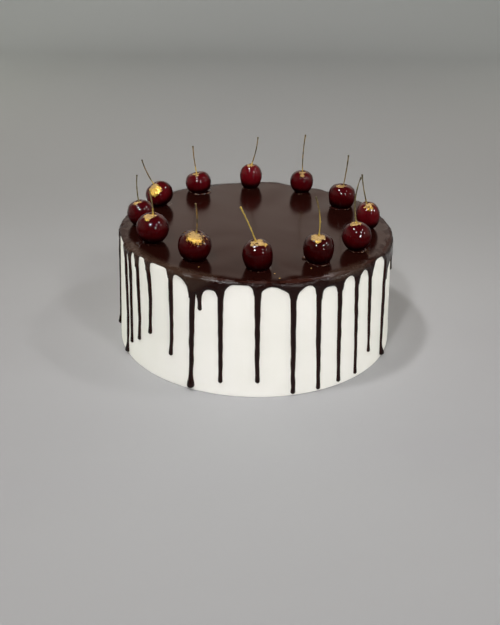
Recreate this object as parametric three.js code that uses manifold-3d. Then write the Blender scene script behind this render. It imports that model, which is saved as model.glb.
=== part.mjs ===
// A round cherry chocolate cake. Pale frosting covers a tall cylinder, a poured chocolate
// glaze covers the top and runs down the sides in drips, and twelve stemmed cherries with
// patches of gold leaf stand in a ring on the glaze.
// Millimetres, +Z up, origin at the centre of the flat underside, front at -Y.
// Angles are in degrees about +Z, 0 at the front and growing towards the right (+X).
import * as THREE from 'three';
import { mergeVertices } from 'three/addons/utils/BufferGeometryUtils.js';
import Module from 'manifold-3d';

const wasm = await Module();
wasm.setup();

// The cake as a whole. It is a hand's width tall, a little wider at the foot than at the
// top, and its top leans slightly down towards the right.
const CAKE_HEIGHT = 92;
const BASE_RADIUS = 112;
const TOP_RADIUS = 107.2;
const TOP_SLOPE = -0.01;
const EDGE_ROUND = 0.9;
const GAP = 0.3;
const CAKE_COLUMNS = 96;

// The glaze without its drips: a sheet on the top, a rim that rolls over the edge through
// the turns below, and a band that ends above the arches of bare frosting.
const GLAZE_THICKNESS = 1.4;
const GLAZE_STEP = 4;
const ROLL_START_RADIUS = 104.4;
const ROLL_DEPTH = 4;
const ROLL_SHARE = 0.75;
const ROLL_TURNS = [0, 35, 64, 90];
const ROLL_RELIEF = 1.8;
const EDGE_RELIEF = 0.7;

// A drip: a half-round strand with a longer bead at its foot. The reliefs run from top to
// foot, first as shares of the strand's relief, then of the bead's.
const DRIP_STEP = 0.9;
const DRIP_TOP_DEPTH = 1.2;
const DRIP_TOP_STEP = 0.6;
const DRIP_TAPER = 0.68;
const DRIP_RELIEF = 2;
const DRIP_SIDES = [[-1, 0], [-0.72, 0.72], [0, 1], [0.72, 0.72], [1, 0], [0, 0]];
const SPREAD_SHARES = [0.2, 0.5, 0.76, 1];
const STRAND_RELIEFS = [0.25, 0.35, 0.6, 0.8, 0.95, 1, 0.9, 0.85];
const BEAD_RELIEF = 0.62;
const BEAD_RELIEFS = [1, 0.75, 0.4];
const BEAD_LENGTH = 1.5;
const BEAD_FOOT = 0.4;
const BEAD_ENDS = 0.8;

// The drips seen from the front. Each row gives a drip's place, how far it drifts sideways
// on its way down, the height of its foot, its width and its bead's width, then how far it
// spreads into the glaze on its left and on its right, and the depth of the glaze above the
// arch of bare frosting on its right.
const FRONT_DRIPS = [
  [-80.2, 0.2, 8, 4.2, 4.6, 4, 3, 3.6],
  [-67, 2.4, 1.2, 4.4, 4.8, 5, 2.5, 6.8],
  [-62, 1.8, 14, 3.8, 3.6, 2.5, 3, 2.6],
  [-55, 1.6, 22, 3.8, 3.5, 3, 2.5, 2],
  [-47.2, 1.4, 33, 3.9, 3.6, 3, 2, 2],
  [-34, 0.3, 23, 4.2, 3.6, 2.5, 3, 3],
  [-24.2, -0.4, 1.2, 4.8, 5.8, 12, 1.6, 13],
  [-21.2, 0.2, 66, 3.8, 3.5, 1.6, 4, 8.4],
  [-12.8, 0.2, 10, 4.5, 3.4, 3.5, 5, 2.6],
  [1.1, 0.3, 12, 4.7, 3.5, 4.5, 4, 3.6],
  [14.6, 0.6, 1.2, 4.7, 3.7, 9, 8, 4.6],
  [24.9, 0.6, 1.2, 4.4, 3.5, 4.5, 3.5, 8],
  [34.3, 0.6, 2.4, 4.3, 3.5, 3.5, 6, 4.4],
  [43.1, 0.8, 3, 4, 3.3, 4.5, 4.5, 4.2],
  [51.7, 0.7, 15.4, 4, 3.5, 3.5, 5.5, 2.4],
  [65.6, -1.2, 1.2, 4.6, 5.2, 4, 13, 9],
  [80.4, 0, 64, 3.6, 3.5, 6, 4, 4],
];

// The drips round the back follow the same habits, drawn by a seeded rule.
const BACK_SEED = 29;
const BACK_STEP = [9.5, 15];
const BACK_FOOT = [1.2, 34];
const BACK_SHORT_FOOT = 62;
const BACK_SHORT_EVERY = 6;
const BACK_WIDTH = [3.8, 4.8];
const BACK_BEAD = [3.3, 4.6];
const BACK_FILLET = [3, 6.5];
const BACK_ARCH = [2.2, 6.5];

// The cherries, from the front cherry round to the left. Each stands at an angle on a ring
// radius, is so wide and so tall, and nods sideways by an angle. Its stem reaches sideways,
// back and up to its tip and bows sideways in between, and its gold leaf lies at an angle
// round the fruit and down from the top, with a spread in degrees. The seam in each fruit's
// side turns with its place in the ring.
const CHERRIES = [
  { at: 1, ring: 85.8, wide: 21.7, tall: 21.2, nod: -8, stem: [-11.2, 0, 25, 0.3], leaf: [30, 36, 20] },
  { at: 32.3, ring: 86, wide: 23.2, tall: 22.3, nod: -3, stem: [-3.4, 1, 28.6, 1.8], leaf: [4, 36, 23] },
  { at: 57.4, ring: 90, wide: 22.2, tall: 22.2, nod: -4, stem: [1.2, 2, 35, -2.7], leaf: [-22, 34, 20] },
  { at: 87.5, ring: 89.3, wide: 18.8, tall: 21.4, nod: -10, stem: [-5.2, 1, 22.6, -0.6], leaf: [45, 42, 20] },
  { at: 121.8, ring: 85, wide: 22.6, tall: 20.5, nod: 15, stem: [2.9, 2, 25, 0.4], leaf: [-55, 32, 14] },
  { at: 154, ring: 90.8, wide: 20.4, tall: 18.8, nod: 1, stem: [1.5, 3, 31.6, -0.7], leaf: [-10, 34, 16] },
  { at: -176.6, ring: 90.7, wide: 19.6, tall: 21.4, nod: 2, stem: [5.4, 3, 23.6, 1], leaf: [5, 30, 12] },
  { at: -145.9, ring: 92, wide: 22.4, tall: 18.6, nod: -10, stem: [-3, 2, 23.4, -0.5], leaf: [12, 30, 13] },
  { at: -117, ring: 92, wide: 23.1, tall: 20.9, nod: -28, stem: [-9.2, 0, 20.4, -1.2], leaf: [28, 38, 24] },
  { at: -87.2, ring: 91.6, wide: 21.9, tall: 21, nod: -10, stem: [-0.6, 1, 21, -0.8], leaf: [-48, 32, 14] },
  { at: -62.9, ring: 88, wide: 24.9, tall: 24, nod: 3, stem: [-2.1, 1, 17.4, 0.6], leaf: [-22, 40, 21] },
  { at: -31.9, ring: 84.4, wide: 25.1, tall: 22.4, nod: 9, stem: [-0.3, 1, 21.6, 0.9], leaf: [2, 38, 25] },
];
const CHERRY_COLUMNS = 16;
const CHERRY_ROWS = 10;
const CHERRY_SINK = 0.9;
const CHERRY_STRETCH = 1.03;
const ROW_CROWDING = 1.15;
const CAVITY_DEPTH = 2.2;
const CAVITY_WIDTH = 3.2;
const SHOULDER = 0.03;
const SEAM_DEPTH = 0.035;
const SEAM_WIDTH = 0.5;
const SEAM_TURN = 2.7;
const LEAF_COLUMNS = 10;
const LEAF_REACH = [0, 0.55, 1, 1, 0];
const LEAF_RELIEF = 0.35;
const LEAF_ROOT = -0.9;
const LEAF_RAGGED = 0.22;
const LEAF_RHYTHM = 3.7;
const STEM_RADIUS = 0.7;
const STEM_SIDES = 6;
const STEM_STEPS = 6;
const STEM_CLEARANCE = 0.9;

const frosting = new THREE.MeshStandardMaterial({ color: 0xedece6, roughness: 0.55, metalness: 0 });
const chocolate = new THREE.MeshStandardMaterial({ color: 0x2b1613, roughness: 0.1, metalness: 0 });
const cherrySkin = new THREE.MeshStandardMaterial({ color: 0x4d0a12, roughness: 0.12, metalness: 0 });
const stemSkin = new THREE.MeshStandardMaterial({ color: 0x8a7438, roughness: 0.55, metalness: 0 });

/** Repeatable random numbers from 0 to 1. */
function randomSource(seed) {
  let state = seed;
  return () => {
    state = (state + 0x6d2b79f5) | 0;
    let mixed = Math.imul(state ^ (state >>> 15), 1 | state);
    mixed = (mixed + Math.imul(mixed ^ (mixed >>> 7), 61 | mixed)) ^ mixed;
    return ((mixed ^ (mixed >>> 14)) >>> 0) / 4294967296;
  };
}

/** The radius of the frosted side at a height: a straight taper from foot to top. */
function sideRadius(height) {
  return THREE.MathUtils.lerp(BASE_RADIUS, TOP_RADIUS, height / CAKE_HEIGHT);
}

/** The point at an angle, a radius and a height, lifted or lowered with the leaning top. */
function around(angle, radius, height) {
  const turn = THREE.MathUtils.degToRad(angle);
  const x = radius * Math.sin(turn);
  return new THREE.Vector3(x, -radius * Math.cos(turn), height + TOP_SLOPE * x * (height / CAKE_HEIGHT));
}

/** The geometry with its shared vertices merged and its slivers at the axis dropped. */
function welded(geometry) {
  geometry.deleteAttribute('normal');
  geometry.deleteAttribute('uv');
  const merged = mergeVertices(geometry, 1e-4);
  const corners = Array.from(merged.index.array);
  const kept = [];
  for (let first = 0; first < corners.length; first += 3) {
    const [a, b, c] = corners.slice(first, first + 3);
    if (a !== b && b !== c && c !== a) {
      kept.push(a, b, c);
    }
  }
  merged.setIndex(kept);
  return merged;
}

/** A closed skin of rings between two poles, each vertex put where place(column, row) says. */
function closedSkin(columns, rows, place) {
  const skin = new THREE.SphereGeometry(1, columns, rows);
  const position = skin.getAttribute('position');
  for (let index = 0; index < position.count; index += 1) {
    const row = Math.floor(index / (columns + 1));
    const column = (index % (columns + 1)) % columns;
    const point = place(column, row);
    position.setXYZ(index, point.x, point.y, point.z);
  }
  return welded(skin);
}

/** Joins closed geometries into one closed geometry. */
function joined(geometries) {
  const solids = geometries.map((geometry) => new wasm.Manifold(new wasm.Mesh({
    numProp: 3,
    vertProperties: Float32Array.from(geometry.getAttribute('position').array),
    triVerts: Uint32Array.from(geometry.index.array),
  })));
  const mesh = solids.reduce((whole, solid) => whole.add(solid)).getMesh();
  const result = new THREE.BufferGeometry();
  result.setAttribute('position', new THREE.Float32BufferAttribute(mesh.vertProperties, 3));
  result.setIndex(Array.from(mesh.triVerts));
  return result;
}

function part(name, geometry, material) {
  geometry.computeVertexNormals();
  const mesh = new THREE.Mesh(geometry, material);
  mesh.name = name;
  return mesh;
}

/** The frosted body: one turned profile with softened edges, its top under the glaze. */
function cakeBody() {
  const top = CAKE_HEIGHT - GLAZE_THICKNESS - GAP;
  const profile = [
    new THREE.Vector2(0, 0),
    new THREE.Vector2(BASE_RADIUS - EDGE_ROUND, 0),
    new THREE.Vector2(sideRadius(EDGE_ROUND), EDGE_ROUND),
    new THREE.Vector2(sideRadius(top - EDGE_ROUND), top - EDGE_ROUND),
    new THREE.Vector2(sideRadius(top) - EDGE_ROUND, top),
    new THREE.Vector2(0, top),
  ];
  const geometry = welded(new THREE.LatheGeometry(profile, CAKE_COLUMNS).rotateX(Math.PI / 2));
  const position = geometry.getAttribute('position');
  for (let index = 0; index < position.count; index += 1) {
    const height = position.getZ(index);
    position.setZ(index, height + TOP_SLOPE * position.getX(index) * (height / CAKE_HEIGHT));
  }
  return part('cake_body', geometry, frosting);
}

/** All drips in order round the cake: the front ones as seen, the back ones by rule. */
function allDrips() {
  const drips = FRONT_DRIPS.map(([at, drift, foot, width, bead, leftFillet, rightFillet, arch]) => (
    { at, drift, foot, width, bead, leftFillet, rightFillet, arch }));
  const random = randomSource(BACK_SEED);
  const draw = ([low, high]) => THREE.MathUtils.lerp(low, high, random());
  const last = FRONT_DRIPS[0][0] + 360;
  let at = FRONT_DRIPS.at(-1)[0] + draw(BACK_STEP);
  for (let count = 1; at < last - BACK_STEP[0] / 2; count += 1) {
    const foot = count % BACK_SHORT_EVERY === 0 ? BACK_SHORT_FOOT : draw(BACK_FOOT);
    drips.push({
      at,
      drift: random() - 0.5,
      foot,
      width: draw(BACK_WIDTH),
      bead: draw(BACK_BEAD),
      leftFillet: draw(BACK_FILLET),
      rightFillet: draw(BACK_FILLET),
      arch: draw(BACK_ARCH),
    });
    at += draw(BACK_STEP);
  }
  return drips;
}

/**
 * The columns of the glaze round the cake, each with its angle and the depth of the glaze
 * there. The depth changes behind a drip, and an arch is split into even steps.
 */
function glazeColumns(drips) {
  return drips.flatMap((drip, index) => {
    const next = index + 1 < drips.length ? drips[index + 1].at : drips[0].at + 360;
    const start = drip.at + DRIP_STEP;
    const end = next - DRIP_STEP;
    const steps = Math.max(1, Math.ceil((end - start) / GLAZE_STEP));
    return Array.from({ length: steps + 1 }, (_, step) => (
      { angle: THREE.MathUtils.lerp(start, end, step / steps), band: drip.arch }));
  });
}

/** The glaze without drips: a sheet on the top, a rolled rim and a band down to the arches. */
function glazeCap(drips) {
  const columns = glazeColumns(drips);
  const ring = (angle, depth, relief) => (
    around(angle, sideRadius(CAKE_HEIGHT - depth) + GAP + relief, CAKE_HEIGHT - depth));
  return closedSkin(columns.length, ROLL_TURNS.length + 4, (column, row) => {
    const { angle, band } = columns[column];
    const roll = Math.min(ROLL_DEPTH, ROLL_SHARE * band);
    const outermost = TOP_RADIUS + GAP + ROLL_RELIEF * Math.sqrt(roll / ROLL_DEPTH);
    const rolled = ROLL_TURNS.map((turn) => {
      const swing = THREE.MathUtils.degToRad(turn);
      const radius = THREE.MathUtils.lerp(ROLL_START_RADIUS, outermost, Math.sin(swing));
      return around(angle, radius, CAKE_HEIGHT - roll * (1 - Math.cos(swing)));
    });
    const rows = [
      around(angle, 0, CAKE_HEIGHT),
      ...rolled,
      ring(angle, band, EDGE_RELIEF),
      ring(angle, band, 0),
      ring(angle, GLAZE_THICKNESS, 0),
      around(angle, 0, CAKE_HEIGHT - GLAZE_THICKNESS),
    ];
    return rows[row];
  });
}

/**
 * One drip: a half-round strand that follows the side. At the top it spreads along a
 * quarter circle on each side, then it narrows on its way down and ends in a bead.
 */
function dripSkin(drip, leftArch) {
  const leftEdge = CAKE_HEIGHT - leftArch;
  const rightEdge = CAKE_HEIGHT - drip.arch;
  const top = CAKE_HEIGHT - DRIP_TOP_DEPTH;
  const spreadTop = Math.max(leftEdge, rightEdge);
  const spreadFoot = Math.min(leftEdge - drip.leftFillet, rightEdge - drip.rightFillet);
  const spread = (height, edge, fillet) => {
    const climb = THREE.MathUtils.clamp((height - edge) / fillet + 1, 0, 1);
    return fillet * (1 - Math.sqrt(1 - climb * climb));
  };
  const bead = drip.bead / 2;
  const beadTop = drip.foot + 2 * BEAD_LENGTH * bead;
  const strandHeights = [
    top,
    top - DRIP_TOP_STEP,
    ...SPREAD_SHARES.map((share) => THREE.MathUtils.lerp(spreadTop, spreadFoot, share)),
    (spreadFoot + beadTop) / 2,
    beadTop,
  ];
  const beadHeights = [drip.foot + BEAD_LENGTH * bead, drip.foot + BEAD_FOOT * bead, drip.foot];
  const heights = [...strandHeights, ...beadHeights];
  const reliefs = [
    ...STRAND_RELIEFS.map((share) => share * DRIP_RELIEF),
    ...BEAD_RELIEFS.map((share) => share * drip.bead * BEAD_RELIEF),
  ];
  return closedSkin(DRIP_SIDES.length, heights.length - 1, (column, row) => {
    const height = heights[row];
    const descent = (CAKE_HEIGHT - height) / (CAKE_HEIGHT - drip.foot);
    const isPole = row === 0 || row === heights.length - 1;
    const [across, out] = isPole ? [0, 1] : DRIP_SIDES[column];
    const neck = (drip.width / 2) * THREE.MathUtils.lerp(1, DRIP_TAPER, descent);
    const ball = bead * (row === strandHeights.length ? 1 : BEAD_ENDS);
    const half = (row < strandHeights.length ? neck : ball) + (across < 0
      ? spread(height, leftEdge, drip.leftFillet)
      : spread(height, rightEdge, drip.rightFillet));
    const root = height > spreadFoot ? GAP / 2 : 0;
    const radius = sideRadius(height) + GAP + root + out * reliefs[row];
    const angle = drip.at + drip.drift * descent + THREE.MathUtils.radToDeg((across * half) / radius);
    return around(angle, radius, height);
  });
}

function chocolateGlaze() {
  const drips = allDrips();
  const skins = drips.map((drip, index) => dripSkin(drip, drips.at(index - 1).arch));
  return part('chocolate_glaze', joined([glazeCap(drips), ...skins]), chocolate);
}

/** The frame of a cherry: its middle, the height it rests at and its leaning axes. */
function cherryFrame(cherry) {
  const rest = around(cherry.at, cherry.ring, CAKE_HEIGHT).add(new THREE.Vector3(0, 0, GAP));
  const half = (cherry.tall * CHERRY_STRETCH) / 2;
  return {
    rest: rest.z,
    half,
    middle: rest.clone().add(new THREE.Vector3(0, 0, half - CHERRY_SINK)),
    lean: new THREE.Quaternion().setFromAxisAngle(
      new THREE.Vector3(0, 1, 0), THREE.MathUtils.degToRad(cherry.nod)),
  };
}

/**
 * A point on a cherry, at an angle round the fruit and an angle down from its top: a round
 * fruit with a seam down one side, a hollow for the stem and a flat where it rests. Lift
 * moves the point out of the skin.
 */
function cherryPoint(cherry, turn, down, lift = 0) {
  const frame = cherryFrame(cherry);
  const seam = THREE.MathUtils.degToRad(cherry.at * SEAM_TURN);
  const offSeam = Math.atan2(Math.sin(turn - seam), Math.cos(turn - seam));
  const groove = SEAM_DEPTH * Math.exp(-((offSeam / SEAM_WIDTH) ** 2));
  const radius = (cherry.wide / 2) * Math.sin(down) * (1 - groove + SHOULDER * Math.cos(down));
  const hollow = down < Math.PI / 2 ? CAVITY_DEPTH * Math.exp(-((radius / CAVITY_WIDTH) ** 2)) : 0;
  const point = new THREE.Vector3(
    radius * Math.sin(turn), -radius * Math.cos(turn), frame.half * Math.cos(down) - hollow);
  point.addScaledVector(point.clone().normalize(), lift);
  point.applyQuaternion(frame.lean).add(frame.middle);
  point.z = Math.max(point.z, frame.rest);
  return point;
}

/** The fruit without its gold leaf, with its rings closer together near the stem. */
function cherryFruit(cherry) {
  return closedSkin(CHERRY_COLUMNS, CHERRY_ROWS, (column, row) => {
    const down = Math.PI * (row / CHERRY_ROWS) ** ROW_CROWDING;
    return cherryPoint(cherry, (2 * Math.PI * column) / CHERRY_COLUMNS, down);
  });
}

/** A patch of gold leaf: a thin ragged scale that follows the fruit and is rooted in it. */
function goldLeaf(cherry) {
  const [turn, down, spread] = cherry.leaf.map((angle) => THREE.MathUtils.degToRad(angle));
  const lifts = [LEAF_RELIEF, LEAF_RELIEF, LEAF_RELIEF, LEAF_ROOT, LEAF_ROOT];
  return closedSkin(LEAF_COLUMNS, LEAF_REACH.length - 1, (column, row) => {
    const way = (2 * Math.PI * column) / LEAF_COLUMNS;
    const ragged = 1 + LEAF_RAGGED * Math.sin(LEAF_RHYTHM * column + cherry.at);
    const far = spread * LEAF_REACH[row] * ragged;
    const pointDown = down - far * Math.sin(way);
    const pointTurn = turn + (far * Math.cos(way)) / Math.sin(down);
    return cherryPoint(cherry, pointTurn, pointDown, lifts[row]);
  });
}

/** The stem: a thin bowed rod that stands just clear of the hollow in the fruit. */
function cherryStem(cherry) {
  const [sideways, back, up, bow] = cherry.stem;
  const foot = cherryPoint(cherry, 0, 0).add(new THREE.Vector3(0, 0, STEM_CLEARANCE));
  const tip = foot.clone().add(new THREE.Vector3(sideways, back, up));
  const middle = foot.clone().lerp(tip, 0.5).add(new THREE.Vector3(bow, 0, 0));
  const corners = Array.from({ length: STEM_SIDES }, (_, side) => {
    const turn = (2 * Math.PI * side) / STEM_SIDES;
    return new THREE.Vector2(STEM_RADIUS * Math.cos(turn), STEM_RADIUS * Math.sin(turn));
  });
  return welded(new THREE.ExtrudeGeometry(new THREE.Shape(corners), {
    steps: STEM_STEPS,
    bevelEnabled: false,
    extrudePath: new THREE.CatmullRomCurve3([foot, middle, tip]),
  }));
}

const cake = new THREE.Group();
cake.add(cakeBody(), chocolateGlaze());
CHERRIES.forEach((cherry, index) => {
  const number = String(index + 1).padStart(2, '0');
  cake.add(part(`cherry_${number}`, joined([cherryFruit(cherry), goldLeaf(cherry)]), cherrySkin));
  cake.add(part(`cherry_stem_${number}`, cherryStem(cherry), stemSkin));
});

export default cake;
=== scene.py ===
"""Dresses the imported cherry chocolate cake: satin frosting, a poured glossy glaze with long
drips, and twelve glazed cherries with crumpled gold leaf.

The tables hold millimetres and degrees. Angles turn about +Z, 0 at the front and growing
towards the right. Heights are taken before the cake leans a little with its top. Meshes are
made in metres, with their place in their vertices.
"""

import math

import bpy
import numpy as np
from bpy.props import FloatProperty, FloatVectorProperty, IntProperty, PointerProperty
from mathutils import Matrix


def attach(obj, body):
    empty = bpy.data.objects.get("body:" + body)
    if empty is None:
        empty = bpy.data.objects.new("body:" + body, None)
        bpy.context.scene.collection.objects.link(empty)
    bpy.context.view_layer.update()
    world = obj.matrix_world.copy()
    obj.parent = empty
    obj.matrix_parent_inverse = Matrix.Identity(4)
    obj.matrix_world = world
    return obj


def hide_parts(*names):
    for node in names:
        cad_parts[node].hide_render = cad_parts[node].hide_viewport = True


bl_info = {
    "name": "Cherry chocolate cake",
    "version": (1, 0, 0),
    "blender": (4, 5, 0),
    "location": "3D View > Sidebar > Cake",
    "description": "Builds a dripped chocolate cake with glazed cherries and gold leaf",
    "category": "Add Mesh",
}

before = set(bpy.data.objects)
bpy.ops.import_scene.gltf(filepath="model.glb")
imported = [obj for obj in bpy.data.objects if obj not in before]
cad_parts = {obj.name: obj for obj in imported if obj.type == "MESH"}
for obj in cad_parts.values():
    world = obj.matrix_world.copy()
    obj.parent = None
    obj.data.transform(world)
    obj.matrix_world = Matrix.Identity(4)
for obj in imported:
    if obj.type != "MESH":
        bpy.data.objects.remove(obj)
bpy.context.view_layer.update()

MM = 0.001
TURN = 2 * math.pi

# The cake under its toppings, as in the frame.
CAKE_HEIGHT = 92.0
BASE_RADIUS = 112.0
TOP_RADIUS = 107.9
TOP_SLOPE = -0.01
BODY_TOP = 91.45
GLAZE_UNDERSIDE = 91.5
FOOT_ROUND = 0.5

# How deep the back of the glaze and of its drips lies in the frosting.
BURIED = 0.15
# Places across a drip, from its left side to its right side.
ACROSS = np.sin(np.radians(np.linspace(-90, 90, 11)))
# The rings of the glaze's flat top, as shares of the way out to its rolled rim.
TOP_RINGS = np.array([6, 14, 24, 34, 44, 54, 63, 71, 78, 84, 89, 93, 96.5, 99.5, 101.6]) / 105
# How far below the arches beside it a drip begins, and how far at least below the top.
CORNER_DROP = 1.2
LEAST_CORNER = 5.0
# The least gap between the ends of an arch and its drips, in degrees.
ARCH_MARGIN = 0.06
# How far down the sides of a drip are looked at to round off its top.
SIDE_REACH = 6.0
# The low ridge along the glaze's edge: height, distance from the edge and spread.
RIDGE = (0.3, 2.4, 1.3)
# The share of its full thickness that the glaze keeps where it is shallow.
SHALLOW_SHARE = 0.3
# How far out the look of the rim begins, and how far below the top it ends.
RIM_START = 100.0
RIM_DEPTH = 9.0
# How far out the rise at the back begins, and the distance over which it grows.
BACK_RISE_START = 35.0
BACK_RISE_RUN = 73.0
# An outline is rounded on points this far apart, over this many of them to either side.
FINE_STEP = 0.1
ROUNDING_STEPS = 9
# The distance between the rows of a drip, how much it narrows on its way down, and over how
# many times its own radius the drop at the end swells.
DRIP_STEP = 2.2
DRIP_NARROWING = 0.32
DROP_BLEND = 1.6

# How far along the rim the frosting's shoulder looks for its depth, in degrees, and how much
# lower and broader than the rolled rim it is.
SHOULDER_REACH = 0.9
SHOULDER_LOWER = 0.1
SHOULDER_BROADER = 0.9

# How much taller a fruit is with its gel, how far it sinks and stands up where it rests, and
# how far below that place its foot is cut off flat.
GEL_GROWTH = 1.03
FRUIT_SINK = 0.9
FRUIT_LIFT = 0.3
SEAT_DEPTH = 0.35
# The seam of a fruit: its depth as a share of the radius, its half width in radians, and how
# many times faster than the fruit's place in the ring it turns.
SEAM_DEPTH = 0.035
SEAM_WIDTH = 0.5
SEAM_TURN = 2.7
# The hollow for the stem: its depth and how far it reaches from its middle.
HOLLOW_DEPTH = 1.3
HOLLOW_REACH = 3.0
# How much thicker a stem is at its foot and at the knob on its tip, as shares.
STEM_FOOT_SWELL = 0.45
STEM_KNOB_SWELL = 0.5

# The drips that the front shows. Each row holds the centre line as (angle, height) points
# from the top down, then the height of the foot, the width at the top and the bead's width.
FRONT_DRIPS = (
    (((-84.6, 88), (-83.2, 9)), 8, 4.2, 4.6),
    (((-65.8, 82), (-65, 71), (-64.3, 60), (-63.8, 46), (-63.4, 36), (-64, 2)), 1.2, 4.3, 4.8),
    (((-60.9, 83), (-60.2, 74), (-59.8, 62), (-59.2, 14)), 14, 4.3, 3.8),
    (((-54.7, 88), (-53.8, 79), (-53.3, 68), (-52.8, 55), (-52.4, 40), (-52.8, 22)), 22, 4.2,
     3.7),
    (((-46.9, 88), (-46.1, 81), (-45.4, 73.7), (-44.9, 61), (-45.2, 34)), 33, 4.3, 3.8),
    (((-34.1, 87), (-33.5, 49), (-33.9, 23)), 23, 4.2, 3.6),
    (((-24.2, 72), (-24.7, 2)), 1.2, 4.8, 5.8),
    (((-21.3, 79), (-21, 66)), 65.6, 3.8, 3.5),
    (((-12.9, 81), (-12.6, 10)), 10, 4.5, 3.5),
    (((1, 83), (1.4, 12)), 12, 4.7, 3.6),
    (((14.5, 82), (15.2, 1)), 1.2, 4.7, 3.7),
    (((24.8, 79), (25.6, 1)), 1.2, 4.4, 3.5),
    (((34.3, 75), (34.9, 2)), 2.4, 4.3, 3.5),
    (((43, 85), (44, 3)), 3, 4, 3.3),
    (((51.5, 84), (52.5, 15)), 15.4, 4, 3.5),
    (((66, 79), (64.9, 65), (64.8, 50), (64.2, 13), (65.2, 2)), 1.2, 4.6, 5.2),
    (((80.4, 78), (80.3, 66)), 64, 3.6, 3.5),
)

# The lower edge of the glaze to the right of each of those drips but the last, as
# (angle, height) points from left to right, as seen in front.
FRONT_ARCHES = (
    ((-83.4, 90), (-80, 91.8), (-74, 92), (-70, 91.6), (-68.5, 90.9), (-67.9, 88.7),
     (-66.9, 84.5)),
    ((-64.7, 86.2), (-64.2, 88.2), (-63.4, 88.9), (-62.7, 88.1), (-62.2, 86.2), (-62, 84.2)),
    ((-59.6, 88.6), (-59.2, 90.6), (-58.5, 91.7), (-57.4, 91.8), (-56.6, 91.2), (-56, 89.4),
     (-55.7, 86), (-55.6, 83)),
    ((-53.5, 88.6), (-53.2, 90.8), (-52.5, 92.3), (-51.4, 93), (-50, 93.1), (-49.2, 92.6),
     (-48.8, 91.2), (-48.3, 90.1), (-48, 88.6), (-47.9, 85.8)),
    ((-45.7, 88.9), (-45.5, 90.4), (-44.8, 92), (-43.6, 92.9), (-41.6, 93.3), (-39.4, 93.5),
     (-37.2, 93.5), (-36.1, 91.6), (-35.4, 86.9)),
    ((-33, 86.5), (-32.7, 88.8), (-31.7, 89.7), (-30.8, 89.7), (-29.9, 89.2),
     (-29, 88.4), (-28, 87.2), (-27.2, 85.6), (-26.3, 83.1), (-25.7, 76.2)),
    ((-22.9, 75.7), (-22.6, 79.7), (-22.4, 77.4)),
    ((-20.3, 78.7), (-19.5, 81.7), (-18.7, 82.9), (-17.9, 83.6), (-16.7, 83.9),
     (-15.6, 83.6), (-14.8, 82.7), (-14.3, 80.5)),
    ((-11.6, 79.6), (-11.3, 84), (-10.9, 85.4), (-10.2, 87.2), (-9.4, 88.7),
     (-8.3, 89.6), (-5.7, 89.7), (-2.3, 89.5), (-1.6, 88.7), (-0.8, 86.8), (-0.4, 82.8)),
    ((2.2, 78.9), (2.5, 85), (3.3, 86.4), (4, 87.4), (4.7, 88), (5.5, 88.5), (6.6, 88.6),
     (8.5, 87.8), (10, 86.2), (11.5, 84.6), (12.3, 83.5), (12.8, 82.2), (13.1, 79.5)),
    ((15.9, 78.1), (16.2, 81.1), (17, 83.7), (17.8, 85), (18.9, 86.4), (20.1, 87.3),
     (21.4, 87.2), (22.2, 86.3), (23.1, 84.4), (23.5, 80.2)),
    ((26.2, 75.9), (26.5, 81.5), (27.4, 83.1), (28.2, 83.7), (30.9, 83.6), (31.9, 82.9),
     (32.6, 81.4), (32.9, 78.5)),
    ((35.8, 79), (36.2, 83.7), (37.2, 86.1), (38.2, 87.1), (39.3, 87.4), (40.4, 87),
     (41.4, 85.4), (41.9, 82.3)),
    ((44.4, 79), (44.9, 84), (45.6, 85.8), (46.9, 87.5), (48.1, 87.7), (49.6, 85.5),
     (50.4, 80.9)),
    ((52.9, 79.8), (53.6, 83.9), (54.7, 88.6), (56.3, 90), (58.1, 90), (60.1, 89.7),
     (62.2, 88.8), (63.7, 85.5)),
    ((67.2, 66.3), (68.4, 74.2), (70, 76.3), (71.9, 77.6), (74.2, 79.1), (78, 78.2),
     (79, 76.5)),
)
# How far those points are lowered, and the least depth of the glaze above any arch.
ARCH_LOWERING = 0.7
SHALLOWEST_EDGE = 0.75

# The drips round the back: angle, drift in degrees, foot, width, bead, then the arch on the
# right as the round at its left end and at its right end and the depth of the glaze above it.
BACK_DRIPS = (
    (91.1, -0.2, 6.1, 4, 3.8, 4.3, 5.6, 3.6),
    (101.9, 0.1, 2.4, 3.8, 4.1, 6.4, 4, 4.3),
    (115.2, 0.4, 3, 4.6, 4.3, 5, 4.2, 2.6),
    (126.3, -0.4, 4, 4.4, 3.6, 3.5, 4.1, 3.5),
    (139.2, 0.4, 11.5, 4.5, 4.1, 5.9, 4, 4.5),
    (153.2, -0.4, 62, 3.9, 4.3, 3.1, 3.9, 5.4),
    (165.1, -0.3, 8, 4.4, 3.6, 5.2, 3.7, 4.7),
    (175.2, 0.1, 25.4, 4.3, 3.9, 6.1, 6, 2.8),
    (189.7, 0.4, 11.1, 4.1, 4.3, 4.4, 4.3, 4.2),
    (201.7, -0.2, 30.5, 4.2, 3.6, 6.1, 5.1, 6.2),
    (213.9, -0.4, 13.9, 3.9, 3.9, 4.6, 3.6, 4.7),
    (224.7, -0.3, 62, 4.8, 4.1, 5.3, 4.6, 4),
    (236.6, 0.3, 23.4, 4.4, 4.5, 5.5, 5.9, 5.9),
    (247.5, 0.1, 5.2, 4.5, 3.7, 5.9, 4.9, 6),
    (259.4, 0, 9, 4.5, 3.5, 3.8, 5.7, 3.6),
    (272.7, 0.1, 7.2, 4.1, 4.6, 3.5, 4, 4.7),
)
# The arch on the left of the first of them, and the height at which they all begin.
FIRST_BACK_ARCH = (4.0, 4.2, 4.0)
BACK_START = 86
# How many times taller than wide an arch's rounded ends are.
ROUND_STRETCH = 1.3

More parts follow.
